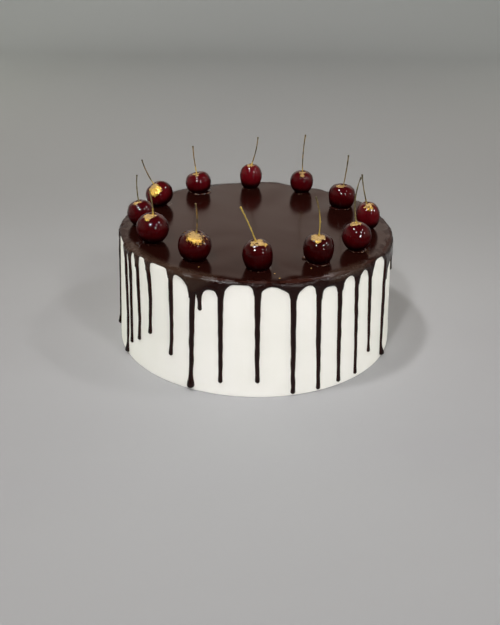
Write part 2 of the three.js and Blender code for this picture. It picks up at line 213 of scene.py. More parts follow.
# Where the back of the glaze's rim stands up: angle, height and spread in degrees.
BACK_RISES = (
    (186, 0.7, 8),
    (171, 1.3, 9),
    (150, 1.1, 9),
    (121, 1.4, 12),
    (217, 0.8, 9),
)

# The cherries in the frame's order: angle, ring radius, width, height and sideways nod; the
# power that squares the fruit off (1 is a ball); how full its foot is; how bright its red
# is; how much gel has run to its foot; how far it sits sideways and back from its ring; and
# its stem's reach sideways, back and up with the sideways bow.
CHERRIES = (
    (1, 85.8, 22.1, 21.2, -8, 0.84, 0.90, 0.14, 0.35, (0, 2.2), (-11.2, 0, 25, 0.3)),
    (32.3, 86, 23.4, 20.7, -3, 0.86, 0.62, 0.02, 0.55, (0, 3.9), (-3.4, 1, 28.6, 1.8)),
    (57.4, 90, 22.2, 21.6, -4, 0.97, 0.15, 0.33, 0.6, (0, 4.2), (1.2, 2, 35, -2.7)),
    (87.5, 89.3, 18.8, 22.2, -10, 0.95, 0.20, 0.75, 0.2, (0, 4), (-5.2, 1, 22.6, -0.6)),
    (121.8, 85, 22.8, 19.3, 5, 0.88, 0.90, 0.35, 0.5, (0, 2.6), (2.9, 2, 25, 0.4)),
    (154, 90.8, 20.4, 19.3, 1, 0.90, 0.30, 0.45, 0.3, (0, 1.4), (1.5, 3, 31.6, -0.7)),
    (-176.6, 90.7, 19.6, 21.4, 2, 0.93, 0.70, 1, 0.2, (0, 2), (5.4, 3, 23.6, 1)),
    (-145.9, 92, 22.4, 17, -10, 0.87, 0.90, 0.65, 0.6, (0, 2.4), (-3, 2, 23.4, -0.5)),
    (-117, 92, 23.1, 20, -28, 0.97, 0.30, 0.60, 0.2, (0, 0.6), (-9.2, 0, 20.4, -1.2)),
    (-87.2, 91.6, 21.9, 19.9, -10, 0.95, 0.50, 0.32, 0.3, (0, 0.8), (-0.6, 1, 21, -0.8)),
    (-62.9, 88, 24.9, 22.5, 3, 0.98, 0.25, 0.30, 0.25, (0, 0.8), (-2.1, 1, 17.4, 0.6)),
    (-31.9, 84.4, 25.1, 20.9, 9, 0.90, 0.60, 0.18, 0.2, (0, 2.2), (-0.3, 1, 21.6, 0.9)),
)

# How far up gold covers each stem, and how brown rather than green the stem is.
STEM_TONES = (
    (1.15, 0.45), (0.60, 0.80), (0.12, 0.15), (0.10, 0.20), (0.12, 0.45), (0.15, 0.50),
    (0.15, 0.50), (0.30, 0.70), (0.12, 0.85), (0.08, 0.00), (0.28, 0.25), (0.08, 1.00),
)

# Gold leaf on each cherry: round patches that run together, each with its angle round the
# fruit, its angle down from the top and its radius in degrees.
LEAF_PATCHES = (
    ((36, 9, 17), (57, 43, 8), (38, 31, 9), (7, 29, 6), (-30, 27, 7), (-40, 12, 9)),
    ((-14, 13, 21), (-8, 38, 10), (-41, 30, 8), (27, 24, 9)),
    ((-60, 4, 18), (-50, 20, 9), (45, 14, 8)),
    ((20, 25, 14), (28, 40, 10), (-12, 34, 9), (7, 47, 7), (54, 33, 6)),
    ((-30, 18, 14), (-50, 26, 11), (0, 8, 10)),
    ((-2, 18, 14), (-3, 42, 10)),
    ((-16, 13, 15), (-25, 22, 9)),
    ((-10, 10, 13), (8, 30, 7)),
    ((3, 50, 26), (-3, 42, 20), (20, 57, 16), (-6, 67, 12), (10, 26, 14)),
    ((-24, 22, 11), (0, 9, 12)),
    ((-40, 21, 16), (-25, 36, 10), (-52, 27, 9), (0, 11, 12)),
    ((-7, 27, 24), (-1, 48, 13), (-23, 44, 10), (22, 44, 12), (-32, 10, 14)),
)

# The cherries whose leaf breaks up into flecks round its edge, and how much of its field is
# left there.
RAGGED_LEAVES = (4, 12)
RAGGED_SHARE = 0.33
# The cherries whose leaf is dull.
DULL_LEAVES = (5, 6)

# Loose gold flecks on the glaze: x, y and size.
FLECKS = (
    (-40.7, -85.2, 0.5),
    (13.6, -93.5, 0.7),
    (17, -101.2, 0.7),
    (40, -82.7, 0.75),
    (53.1, 11.5, 0.45),
)

# The crumb of chocolate, the same way, and how many times plumper it is than a fleck.
CRUMB = (37.2, -64.4, 3.3)
CRUMB_PLUMPNESS = 5.5


def mm(length):
    """A setting's metres as millimetres."""
    return length * 1000


def side_radius(height):
    """Radius of the frosted side at a height: a straight taper from the foot to the top."""
    return BASE_RADIUS + (TOP_RADIUS - BASE_RADIUS) * height / CAKE_HEIGHT


def around(angle, radius, height):
    """Points on the cake: x = radius sin(angle), y = -radius cos(angle), and the height
    grows with x by the slope of the top, in proportion to the height itself."""
    turn = np.radians(angle)
    x = radius * np.sin(turn)
    y = -radius * np.cos(turn)
    return np.stack(np.broadcast_arrays(x, y, height + TOP_SLOPE * x * height / CAKE_HEIGHT), -1)


def eased(share):
    """0 below 0, 1 above 1, and 3 s^2 - 2 s^3 between."""
    s = np.clip(share, 0, 1)
    return s * s * (3 - 2 * s)


def bell(share):
    """exp(-s^2)."""
    return np.exp(-share ** 2)


def turned_back(angle):
    """An angle in degrees brought between -180 and 180."""
    return (angle + 180) % 360 - 180


def circle(count):
    """Even steps round a full turn."""
    return np.linspace(0, TURN, count, endpoint=False)


def ripple(points, length, seed, waves=14):
    """A smooth random field from about -1 to 1: the sum of sine waves in random directions,
    each about the given length, divided by the root of their number."""
    random = np.random.default_rng(seed)
    directions = random.normal(size=(waves, points.shape[-1]))
    directions /= np.linalg.norm(directions, axis=1, keepdims=True)
    pitches = TURN / (length * random.uniform(0.7, 1.5, waves))
    phases = random.uniform(0, TURN, waves)
    return np.sin(points @ (directions * pitches[:, None]).T + phases).sum(-1) / math.sqrt(waves)


def grid_faces(index, closed=False):
    """Quads of a table of vertex numbers whose rows run down and columns run to the right,
    seen from outside. A closed table joins its last column to its first."""
    if closed:
        index = np.concatenate([index, index[:, :1]], axis=1)
    corners = (index[:-1, :-1], index[1:, :-1], index[1:, 1:], index[:-1, 1:])
    return np.stack(corners, -1).reshape(-1, 4)


def fan_faces(centre, ring, closed=True):
    """Triangles from one vertex to each pair of neighbours of a ring."""
    following = np.roll(ring, -1) if closed else ring[1:]
    ring = ring if closed else ring[:-1]
    return np.stack([np.full(len(ring), centre), ring, following], -1)


def closed_skin(rings, first, last):
    """Points and faces of a stack of rings that runs down, closed by a fan to one point at
    each end."""
    index = np.arange(rings[..., 0].size).reshape(rings.shape[:2])
    points = np.concatenate([rings.reshape(-1, 3), np.array([first, last])])
    return points, [grid_faces(index, closed=True), fan_faces(index.size, index[0]),
                    fan_faces(index.size + 1, index[-1][::-1])]


def joined(parts):
    """Points and faces of several parts as those of one."""
    used = np.cumsum([0] + [len(points) for points, _ in parts])
    faces = [table + start for start, (_, tables) in zip(used, parts) for table in tables]
    return np.concatenate([points for points, _ in parts]), faces


def make_piece(name, points, faces, material, slot=None, replaces=(), attributes=None):
    """Puts points in millimetres and tables of faces into a mesh object at the origin, which
    rides on the cake when a slot is given."""
    mesh = bpy.data.meshes.new(name)
    loops = np.concatenate([table.ravel() for table in faces])
    sizes = np.concatenate([np.full(len(table), table.shape[1]) for table in faces])
    mesh.vertices.add(len(points))
    mesh.vertices.foreach_set("co", (points * MM).astype(np.float32).ravel())
    mesh.loops.add(len(loops))
    mesh.loops.foreach_set("vertex_index", loops.astype(np.int32))
    mesh.polygons.add(len(sizes))
    mesh.polygons.foreach_set("loop_start", (np.cumsum(sizes) - sizes).astype(np.int32))
    mesh.update(calc_edges=True)
    if mesh.validate():
        raise RuntimeError(f"the mesh of {name} has faults")
    mesh.shade_smooth()
    for key, values in (attributes or {}).items():
        layer = mesh.attributes.new(key, "FLOAT", "POINT")
        layer.data.foreach_set("value", np.asarray(values, np.float32))
    mesh.materials.append(material)
    piece = bpy.data.objects.new(name, mesh)
    bpy.context.scene.collection.objects.link(piece)
    if slot:
        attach(piece, "root")
    if replaces:
        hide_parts(*replaces)
    return piece


class Wire:
    """An output socket of a finish. Arithmetic on it adds Math nodes."""

    def __init__(self, finish, socket):
        self.finish = finish
        self.socket = socket

    def maths(self, operation, first, second):
        return self.finish.add("ShaderNodeMath", {0: first, 1: second}, operation=operation)

    def __add__(self, other):
        return self.maths("ADD", self, other)

    __radd__ = __add__

    def __sub__(self, other):
        return self.maths("SUBTRACT", self, other)

    def __rsub__(self, other):
        return self.maths("SUBTRACT", other, self)

    def __mul__(self, other):
        return self.maths("MULTIPLY", self, other)

    __rmul__ = __mul__

    def eased(self, low, high):
        """0 below low, 1 above high, and an S curve between."""
        return self.finish.add("ShaderNodeMapRange", {0: self, 1: low, 2: high},
                               interpolation_type="SMOOTHSTEP")

    def twin(self, name):
        """Another output of the same node."""
        return Wire(self.finish, self.socket.node.outputs[name])


class Finish:
    """A node material, or the world's nodes, built one node at a time."""

    def __init__(self, owner):
        owner.use_nodes = True
        self.owner = owner
        self.tree = owner.node_tree
        self.tree.nodes.clear()

    def add(self, kind, sockets=None, out=0, **settings):
        """Adds a node: its settings first, then the values or wires of its sockets."""
        node = self.tree.nodes.new(kind)
        for name, value in settings.items():
            setattr(node, name, value)
        for key, value in (sockets or {}).items():
            if isinstance(value, Wire):
                self.tree.links.new(value.socket, node.inputs[key])
            else:
                node.inputs[key].default_value = value
        return Wire(self, node.outputs[out]) if node.outputs else None

    def split(self, coordinates):
        """The Y of the coordinates, with X and Z as its twins."""
        where = self.add("ShaderNodeTexCoord", out=coordinates)
        return self.add("ShaderNodeSeparateXYZ", {0: where}, out="Y")

    def noise(self, scale, detail, roughness=0.5, stretch=(1, 1, 1)):
        """Noise over the object's own coordinates, in metres."""
        where = self.add("ShaderNodeTexCoord", out="Object")
        where = self.add("ShaderNodeMapping", {"Vector": where, "Scale": stretch})
        return self.add("ShaderNodeTexNoise", {
            "Vector": where, "Scale": scale, "Detail": detail, "Roughness": roughness})

    def attribute(self, name):
        return self.add("ShaderNodeAttribute", out="Fac", attribute_name=name)

    def mix(self, share, first, second):
        """A colour between two colours, each a wire or three numbers. The colour sockets of
        a Mix node go by number, as their names repeat."""
        first, second = (end if isinstance(end, Wire) else (*end, 1) for end in (first, second))
        return self.add("ShaderNodeMix", {0: share, 6: first, 7: second}, 2,
                        data_type="RGBA", clamp_factor=True)

    def bump(self, height, distance, strength):
        return self.add("ShaderNodeBump", {
            "Height": height, "Distance": distance, "Strength": strength})

    def surface(self, sockets):
        shader = self.add("ShaderNodeBsdfPrincipled", sockets)
        self.add("ShaderNodeOutputMaterial", {"Surface": shader})
        return self.owner


def new_finish(name):
    return Finish(bpy.data.materials.new(name))


def colour_property(name, description, default):
    return FloatVectorProperty(name=name, description=description, default=default, size=3,
                               min=0, max=1, subtype="COLOR")


def length_property(name, description, default, low, high):
    return FloatProperty(name=name, description=description, default=default, min=low, max=high,
                         unit="LENGTH", precision=5)


def count_property(name, description, default, low, high):
    return IntProperty(name=name, description=description, default=default, min=low, max=high)


class FrostingSettings(bpy.types.PropertyGroup):
    columns: count_property("Columns", "Faces round the cake", 480, 96, 720)
    unevenness: length_property(
        "Unevenness", "How far the scraped side wanders in and out", 0.00012, 0, 0.0005)
    base: colour_property("Colour", "Colour of the frosting", (0.885, 0.868, 0.822))
    shade: colour_property("Shade", "Colour of its fainter patches", (0.855, 0.842, 0.785))


class GlazeSettings(bpy.types.PropertyGroup):
    thickness: length_property(
        "Thickness", "Thickness of the glaze on the side", 0.0014, 0.0005, 0.003)
    edge_round: length_property(
        "Edge round", "How far in from its edge the glaze rounds off", 0.0018, 0.0005, 0.004)
    roll_depth: length_property(
        "Roll depth", "Depth of the rolled rim where the glaze runs deep", 0.0036, 0.001, 0.008)
    roll_width: FloatProperty(
        name="Roll width", description="Width of the rolled rim as a share of its depth",
        default=2.0, min=0.5, max=3)
    unevenness: length_property(
        "Unevenness", "Rise and fall of the poured top", 0.00003, 0, 0.0005)
    column_step: length_property(
        "Column step", "Distance between columns along the lower edge", 0.0013, 0.0005, 0.004)
    base: colour_property("Colour", "Colour of the chocolate", (0.010, 0.0020, 0.0013))
    thin: colour_property("Thin", "Colour where the chocolate is thin", (0.024, 0.006, 0.0035))
    # Painted reflection: the browner colour on part of the rim stands in for light from above that
    # it mirrors.
    painted_reflection: colour_property("Milky", "Colour of the browner rim", (0.042, 0.024, 0.016))
    crumb: colour_property("Crumb", "Colour of broken chocolate", (0.030, 0.010, 0.005))
    pale_crumb: colour_property("Pale crumb", "Colour of its paler spots", (0.09, 0.038, 0.02))


class CherrySettings(bpy.types.PropertyGroup):
    columns: count_property("Columns", "Faces round a cherry", 88, 24, 160)
    rows: count_property("Rows", "Faces from top to foot", 64, 16, 128)
    gel_unevenness: length_property(
        "Gel unevenness", "How lumpy the clear gel on the fruit is", 0.00013, 0, 0.001)
    leaf_height: length_property(
        "Leaf height", "Height of the crumpled gold leaf", 0.00035, 0, 0.001)
    deep: colour_property("Deep red", "Colour of the darkest fruit", (0.017, 0.0004, 0.0005))
    bright: colour_property("Bright red", "Colour of the palest fruit", (0.082, 0.0022, 0.0045))
    # Painted shade: the darker red painted on a fruit's sides and foot.
    shadow: colour_property("Shadow red", "Colour of a fruit's sides", (0.006, 0.0003, 0.0005))
    gold: colour_property("Gold", "Colour of the gold leaf", (0.90, 0.57, 0.10))
    pale_gold: colour_property("Pale gold", "Colour of its paler folds", (0.76, 0.48, 0.13))
    tan_gold: colour_property("Tan gold", "Colour where the leaf lies flat", (0.42, 0.275, 0.11))
    dull_gold: colour_property("Dull gold", "Colour of dull leaf", (0.28, 0.175, 0.075))
    thin_gold: colour_property("Thin gold", "Colour where the leaf is worn", (0.42, 0.23, 0.035))
    gel: colour_property("Gel", "Colour of the gel at a fruit's foot", (0.016, 0.003, 0.0025))
    # Painted highlight: the paler colour that stands in for light caught on the outer edge of the
    # gel.
    painted_highlight: colour_property("Lip", "Colour of the paler lip of that gel", (0.26, 0.16, 0.11))


class StemSettings(bpy.types.PropertyGroup):
    radius: length_property("Radius", "Radius of a stem at its middle", 0.00049, 0.0002, 0.0015)
    sides: count_property("Sides", "Faces round a stem", 12, 6, 24)
    steps: count_property("Steps", "Rings along a stem", 40, 8, 80)
    olive: colour_property("Olive", "Colour of a green stem", (0.135, 0.115, 0.045))
    brown: colour_property("Brown", "Colour of a ripe stem", (0.22, 0.115, 0.018))
    dark: colour_property("Dark", "Colour of the darker stretches", (0.050, 0.040, 0.014))
    gold: colour_property("Gold", "Colour of the gold on a stem", (0.62, 0.45, 0.10))


class StageSettings(bpy.types.PropertyGroup):
    floor: colour_property("Floor", "Colour of the floor", (0.32, 0.32, 0.33))
    far_floor: colour_property("Far floor", "Colour of its far end", (0.79, 0.79, 0.84))
    lamp_radiance: FloatProperty(
        name="Lamp radiance", description="Brightness of the small soft lamps",
        default=33.0, min=0, max=200)
    lamp_size: length_property("Lamp size", "Side of each square lamp", 0.115, 0.05, 1)
    lamp_distance: length_property(
        "Lamp distance", "Distance of each lamp from the cake", 1.5, 0.8, 4)
    lens: FloatProperty(
        name="Lens", description="Focal length of the camera in millimetres",
        default=49.93, min=20, max=120)


class CAKE_OT_frosted_body(bpy.types.Operator):
    """Make the frosted side and top under the glaze"""
    bl_idname = "cake.frosted_body"
    bl_label = "Frosted body"

    def execute(self, context):
        settings = context.scene.cake_frosting
        points, faces = frosted_body(settings, context.scene.cake_glaze)
        make_piece("frosted_body", points, faces, frosting_finish(settings), "frosting",
                   ["cake_body"])
        return {"FINISHED"}


def frosted_body(settings, glaze):
    """A turned profile: flat foot, small round edge, straight tapered side, round shoulder
    and flat top. The shoulder is a quarter ellipse that follows the glaze's rolled rim. The
    side moves in and out with a long ripple and with faint level marks of the scraper."""
    angle = np.linspace(0, 360, settings.columns, endpoint=False)
    _, _, glaze_angle, foot = glaze_columns(glaze)
    near = np.abs(turned_back(angle[:, None] - glaze_angle)) < SHOULDER_REACH
    broad, roll = (np.where(near, size, 0).max(1) for size in rolled_rim(glaze_angle, foot, glaze))
    drop = roll + SHOULDER_LOWER
    spread = broad * glaze.roll_width + SHOULDER_BROADER
    bends = np.radians(np.linspace(0, 90, 9))[:, None]
    foot_r = BASE_RADIUS - FOOT_ROUND * (1 - np.sin(bends[::2]))
    foot_z = FOOT_ROUND * (1 - np.cos(bends[::2]))
    side_z = FOOT_ROUND + (BODY_TOP - drop - FOOT_ROUND) * np.linspace(0, 1, 34)[1:-1, None]
    shoulder_r = side_radius(BODY_TOP) - spread * (1 - np.cos(bends))
    shoulder_z = BODY_TOP - drop * (1 - np.sin(bends))
    across = np.ones(settings.columns)
    radius = np.concatenate([foot_r * across, side_radius(side_z), shoulder_r])[::-1]
    height = np.concatenate([foot_z * across, side_z, shoulder_z])[::-1]
    plain = around(angle, radius, height)
    sway = ripple(plain * (1, 1, 1.6), 70, 3) + 0.35 * ripple(plain * (0.12, 0.12, 1), 5, 4)
    held = eased(height / 3) * eased((BODY_TOP - height) / 3)
    skin = around(angle, radius + mm(settings.unevenness) * held * sway, height)
    return closed_skin(skin, (0, 0, BODY_TOP), (0, 0, 0))


def frosting_finish(settings):
    """Satin frosting: nearly even colour, with faint cloudy patches, level scraper marks and
    a fine grain."""
    finish = new_finish("Satin frosting")
    clouds = finish.noise(22, 3)
    marks = finish.noise(1.5, 3, stretch=(3, 3, 160))
    grain = finish.noise(900, 2)
    height = clouds * 0.5 + marks * 0.35 + grain * 0.10
    return finish.surface({
        "Base Color": finish.mix(clouds.eased(0.35, 0.7), settings.base, settings.shade),
        "Roughness": 0.34 + marks * 0.16,
        "IOR": 1.45,
        "Normal": finish.bump(height, 0.0004, 0.35),
    })


class CAKE_OT_poured_glaze(bpy.types.Operator):
    """Make the poured chocolate glaze with its rolled rim and its drips"""
    bl_idname = "cake.poured_glaze"
    bl_label = "Poured glaze"

    def execute(self, context):
        settings = context.scene.cake_glaze
        points, faces, thickness = poured_glaze(settings)
        rim = beyond_top(points) * eased((points[:, 2] - CAKE_HEIGHT + RIM_DEPTH) / 4)
        # The browner stretch of the rim is a painted reflection.
        make_piece("poured_glaze", points, faces, glaze_finish(settings), "chocolate_glaze",
                   ["chocolate_glaze"],
                   {"thickness": thickness, "rim": rim, "painted_reflection": painted_reflection_stretch(points)})
        return {"FINISHED"}


def unroll(angle, height):
    """Angle and height as a flat place in millimetres on the unrolled side."""
    return np.stack(np.broadcast_arrays(np.radians(angle) * TOP_RADIUS, height), -1)


def resampled(chain, count):
    """Points at even steps along a chain of flat points. The count is worked out from the
    chain's length."""
    way = np.concatenate([[0], np.cumsum(np.linalg.norm(np.diff(chain, axis=0), axis=1))])
    stops = np.linspace(0, way[-1], count(way[-1]))
    return np.stack([np.interp(stops, way, chain[:, axis]) for axis in (0, 1)], -1)


def along_outline(outline, step):
    """Points a step apart along a chain of (angle, height) points, after it is rounded by a
    short running mean. The first and last points stay."""
    dense = resampled(unroll(*outline.T), lambda length: max(12, int(length / FINE_STEP)))
    reach = min(ROUNDING_STEPS, (len(dense) - 1) // 3)
    kernel = np.hanning(2 * reach + 1)
    kernel /= kernel.sum()
    padded = np.concatenate([2 * dense[0] - dense[reach:0:-1], dense,
                             2 * dense[-1] - dense[-2:-reach - 2:-1]])
    soft = np.stack([np.convolve(padded[:, axis], kernel, "valid") for axis in (0, 1)], -1)
    spaced = resampled(soft, lambda length: max(5, int(round(length / step)) + 1))
    spaced[:, 0] = np.degrees(spaced[:, 0] / TOP_RADIUS)
    return spaced


def half_angle(drip):
    """Half a drip's width at its top, in degrees."""
    return math.degrees(drip["width"] / 2 / TOP_RADIUS)


def all_drips():
    """Every drip round the cake as a dictionary, with the (angle, height) points of the
    glaze's lower edge on its right, both ends left open."""
    back = [(((at, BACK_START), (at + drift, foot)), foot, width, bead)
            for at, drift, foot, width, bead, *_ in BACK_DRIPS]
    drips = [{"path": np.array(path, float), "foot": foot, "width": width, "bead": bead}
             for path, foot, width, bead in (*FRONT_DRIPS, *back)]
    for drip, arch in zip(drips, FRONT_ARCHES):
        seen = np.array(arch, float)
        seen[:, 1] += -TOP_SLOPE * TOP_RADIUS * np.sin(np.radians(seen[:, 0])) - ARCH_LOWERING
        seen[:, 1] = np.minimum(seen[:, 1], CAKE_HEIGHT - SHALLOWEST_EDGE)
        drip["arch"] = seen
    arches = [FIRST_BACK_ARCH] + [row[5:] for row in BACK_DRIPS]
    last = len(FRONT_DRIPS) - 1
    for drip, following, arch in zip(drips[last:], drips[last + 1:] + drips[:1], arches):
        start = drip["path"][0, 0] + half_angle(drip)
        end = following["path"][0, 0] - half_angle(following)
        drip["arch"] = plain_arch(start, end % 360, *arch)
    return drips


def plain_arch(start, end, left, right, depth):
    """An arch of bare side between two drips: a quarter ellipse up from each drip, and a
    straight top between them."""
    bend = np.radians(np.linspace(8, 90, 7))
    span = np.radians(end - start) * TOP_RADIUS
    shrink = min(1.0, 0.9 * span / (left + right))
    parts = []
    for at, reach in ((start, left), (end, -right)):
        inwards = reach * shrink * (1 - np.cos(bend))
        below = abs(reach) * ROUND_STRETCH * (1 - np.sin(bend))
        parts.append(np.stack([at + np.degrees(inwards / TOP_RADIUS),
                               CAKE_HEIGHT - max(depth, SHALLOWEST_EDGE) - below], -1))
    return np.concatenate([parts[0], parts[1][::-1]])


def softened(angle, values, reach):
    """A running mean over a reach in degrees to either side, round the whole cake."""
    step = 0.5
    grid = np.arange(0, 360, step)
    level = np.interp(grid, angle, values, period=360)
    steps = int(reach / step)
    kernel = np.hanning(2 * steps + 1)
    looped = np.concatenate([level[-steps:], level, level[:steps]])
    return np.interp(angle, grid, np.convolve(looped, kernel / kernel.sum(), "valid"), period=360)


def strand_centre(drip, height):
    """Angle of a drip's centre line at a height."""
    path = drip["path"][::-1]
    return np.interp(height, path[:, 1], path[:, 0])


def glaze_columns(settings):
    """The drips, the number of each drip's first column and of all columns, and the angle and
    lower end of every column of the glaze: eleven over each drip, then some along the edge to
    the next. Each drip also gets the flat chain of points that the glaze rounds off towards:
    the edge on its right, its own right side and the left side of the next drip."""
    drips = all_drips()
    for i, drip in enumerate(drips):
        low, high = (min(level - CORNER_DROP, CAKE_HEIGHT - LEAST_CORNER)
                     for level in (drips[i - 1]["arch"][-1, 1], drip["arch"][0, 1]))
        middle, half = strand_centre(drip, (low + high) / 2), half_angle(drip)
        drip["over"] = np.stack([middle + ACROSS * half, low + (high - low) * (ACROSS + 1) / 2],
                                -1)
    for drip, following in zip(drips, drips[1:] + drips[:1]):
        start = drip["over"][-1]
        end = following["over"][0] + (360 * (following is drips[0]), 0)
        inner = drip["arch"].copy()
        inner[:, 0] = np.clip(inner[:, 0], start[0] + ARCH_MARGIN, end[0] - ARCH_MARGIN)
        drip["edge"] = along_outline(np.concatenate([[start], inner, [end]]),
                                     mm(settings.column_step))
        sides = [np.linspace(corner, corner - (0, SIDE_REACH), 30) for corner in (start, end)]
        drip["chain"] = unroll(*np.concatenate([drip["edge"], *sides]).T)
    tables = [table for drip in drips for table in (drip["over"], drip["edge"][1:-1])]
    starts = np.cumsum([0] + [len(table) for table in tables])[::2]
    return drips, starts, *np.concatenate(tables).T


def edge_gaps(drips, starts, angle, heights, most):
    """Distance of each point of the glaze's side from its lower edge. In the last row, which
    lies on the edge, only the places over a drip are away from it."""
    gaps = np.full(heights.shape, most)
    for i, drip in enumerate(drips):
        here, over = slice(*starts[i:i + 2]), slice(starts[i], starts[i] + len(ACROSS))
        edge = drip["chain"][:len(drip["edge"])]
        right = np.concatenate([drip["chain"], (edge[1:] + edge[:-1]) / 2])
        left = drips[i - 1]["chain"] - (TURN * TOP_RADIUS * (i == 0), 0)
        for columns, chain in ((here, right), (over, left)):
            apart = unroll(angle[columns], heights[:, columns])[..., None, :] - chain
            nearest = np.sqrt((apart ** 2).sum(-1)).min(-1)
            gaps[:, columns] = np.minimum(gaps[:, columns], nearest)
        gaps[-1, here] = 0
        gaps[-1, over] = drip["width"] / 2 * (1 - np.abs(ACROSS))
    return gaps


def rolled_rim(angle, foot, settings):
    """How broad and how deep the rim rolls over at each column. The breadth follows the depth
    of the glaze after a running mean and varies with two ripples; the depth is the same, but
    at most three quarters of the glaze's depth."""
    depth = CAKE_HEIGHT - foot
    places = around(angle, TOP_RADIUS, CAKE_HEIGHT)
    roll = softened(angle, np.minimum(mm(settings.roll_depth), 0.6 * depth), 5.0)
    broad = roll * (1 + 0.24 * ripple(places, 24, 12) + 0.08 * ripple(places, 9, 13))
    return broad, np.minimum(broad, 0.75 * depth)


def back_rise(angle, radius):
    """How far the glaze stands above the level top towards the back of its rim: a sum of
    rise exp(-(angle off / spread)^2), eased in from the middle outwards."""
    total = sum(rise * bell(turned_back(angle - at) / spread) for at, rise, spread in BACK_RISES)
    return total * eased((radius - BACK_RISE_START) / BACK_RISE_RUN)


class Shell:
    """Points with a value each, and faces, gathered table by table."""

    def __init__(self):
        self.points, self.values, self.faces, self.used = [], [], [], 0

    def add(self, points, values):
        """Takes in a table of points and gives their numbers in the same layout."""
        index = self.used + np.arange(points[..., 0].size).reshape(points.shape[:-1])
        self.points.append(points.reshape(-1, 3))
        self.values.append(np.broadcast_to(values, index.shape).ravel())
        self.used += index.size
        return index


def poured_glaze(settings):
    """One closed shell in three parts that share their vertices.

    The top is a wavy disc. The rim turns through a quarter ellipse, then goes down the side
    to the glaze's lower edge: a distance d from that edge the glaze is as thick as
    sqrt(1 - (1 - d / edge round)^2) times its full thickness, so the edge is a rounded bead.
    A drip is a strand with the same round section, sqrt(1 - u^2) across, that narrows, waves
    a little and ends in a drop. Behind them, an inner wall and a plain underside close the
    shell."""
    full, rounding = mm(settings.thickness), mm(settings.edge_round)
    drips, starts, angle, foot = glaze_columns(settings)
    broad, roll = rolled_rim(angle, foot, settings)
    shares = np.sin(np.radians(np.linspace(0, 90, 11)))
    heights = (CAKE_HEIGHT - roll) + (foot - CAKE_HEIGHT + roll) * shares[:, None]
    gaps = edge_gaps(drips, starts, angle, heights, 4 * rounding)

    depth = CAKE_HEIGHT - foot
    bead = np.sqrt(1 - (1 - np.clip(gaps / rounding, 0, 1)) ** 2)
    ridge = RIDGE[0] * bell((gaps - RIDGE[1]) / RIDGE[2]) * eased((depth - 3) / 4)
    local = full * (SHALLOW_SHARE + (1 - SHALLOW_SHARE) * eased(depth / 5))
    band_t = -BURIED + (local + BURIED + ridge) * bead
    band_r = side_radius(heights) + band_t

    width = 0.6 + broad * settings.roll_width
    start_r = band_r[0] - width
    bends = np.radians(np.linspace(0, 90, 10))[:-1, None]
    top_r = TOP_RINGS[:, None] * start_r
    radius = np.concatenate([top_r, start_r + width * np.sin(bends), band_r])
    height = np.concatenate([np.full(top_r.shape, CAKE_HEIGHT),
                             CAKE_HEIGHT - roll * (1 - np.cos(bends)), heights])
    outer = around(angle, radius, height)
    outer[..., 2] += back_rise(angle, radius) * eased((height - CAKE_HEIGHT + 6) / 6)
    wave = ripple(outer[..., :2], 34, 5) + 0.4 * ripple(outer[..., :2], 15, 6)
    lift = mm(settings.unevenness) * wave * eased((radius - 2) / 12)
    outer[..., 2] += lift * eased((height - CAKE_HEIGHT + 5) / 5)
    thickness = np.full(radius.shape, full)
    thickness[-len(heights):] = band_t

    shell = Shell()
    index = shell.add(outer, thickness)
    corner = shell.add(around(angle, side_radius(GLAZE_UNDERSIDE) - 0.35, GLAZE_UNDERSIDE), 0)
    top, under = shell.add(np.array([(0, 0, CAKE_HEIGHT), (0, 0, GLAZE_UNDERSIDE)]), [full, 0])
    base = index[-1].copy()
    for number, (drip, start) in enumerate(zip(drips, starts)):
        over = slice(start, start + len(ACROSS))
        inside = slice(start + 1, start + len(ACROSS) - 1)
        wall = side_radius(foot[inside]) - BURIED
        base[inside] = shell.add(around(angle[inside], wall, foot[inside]), 0)
        rows = shell.add(*drip_strand(drip, foot[over], full, number))
        end = drip["foot"]
        tip = shell.add(around(strand_centre(drip, end), side_radius(end) - BURIED, end), 0)
        back = rows[:, [-1, 0]]
        shell.faces += [
            grid_faces(np.concatenate([index[-1:, over], rows])), grid_faces(back),
            fan_faces(tip, rows[-1], closed=False), np.array([[tip, *back[-1]]]),
            np.concatenate([base[over], back[0]])[None]]
    shell.faces += [grid_faces(index, closed=True), fan_faces(top, index[0]),
                    grid_faces(np.stack([base, corner]), closed=True),
                    fan_faces(under, corner[::-1])]
    return np.concatenate(shell.points), shell.faces, np.concatenate(shell.values)


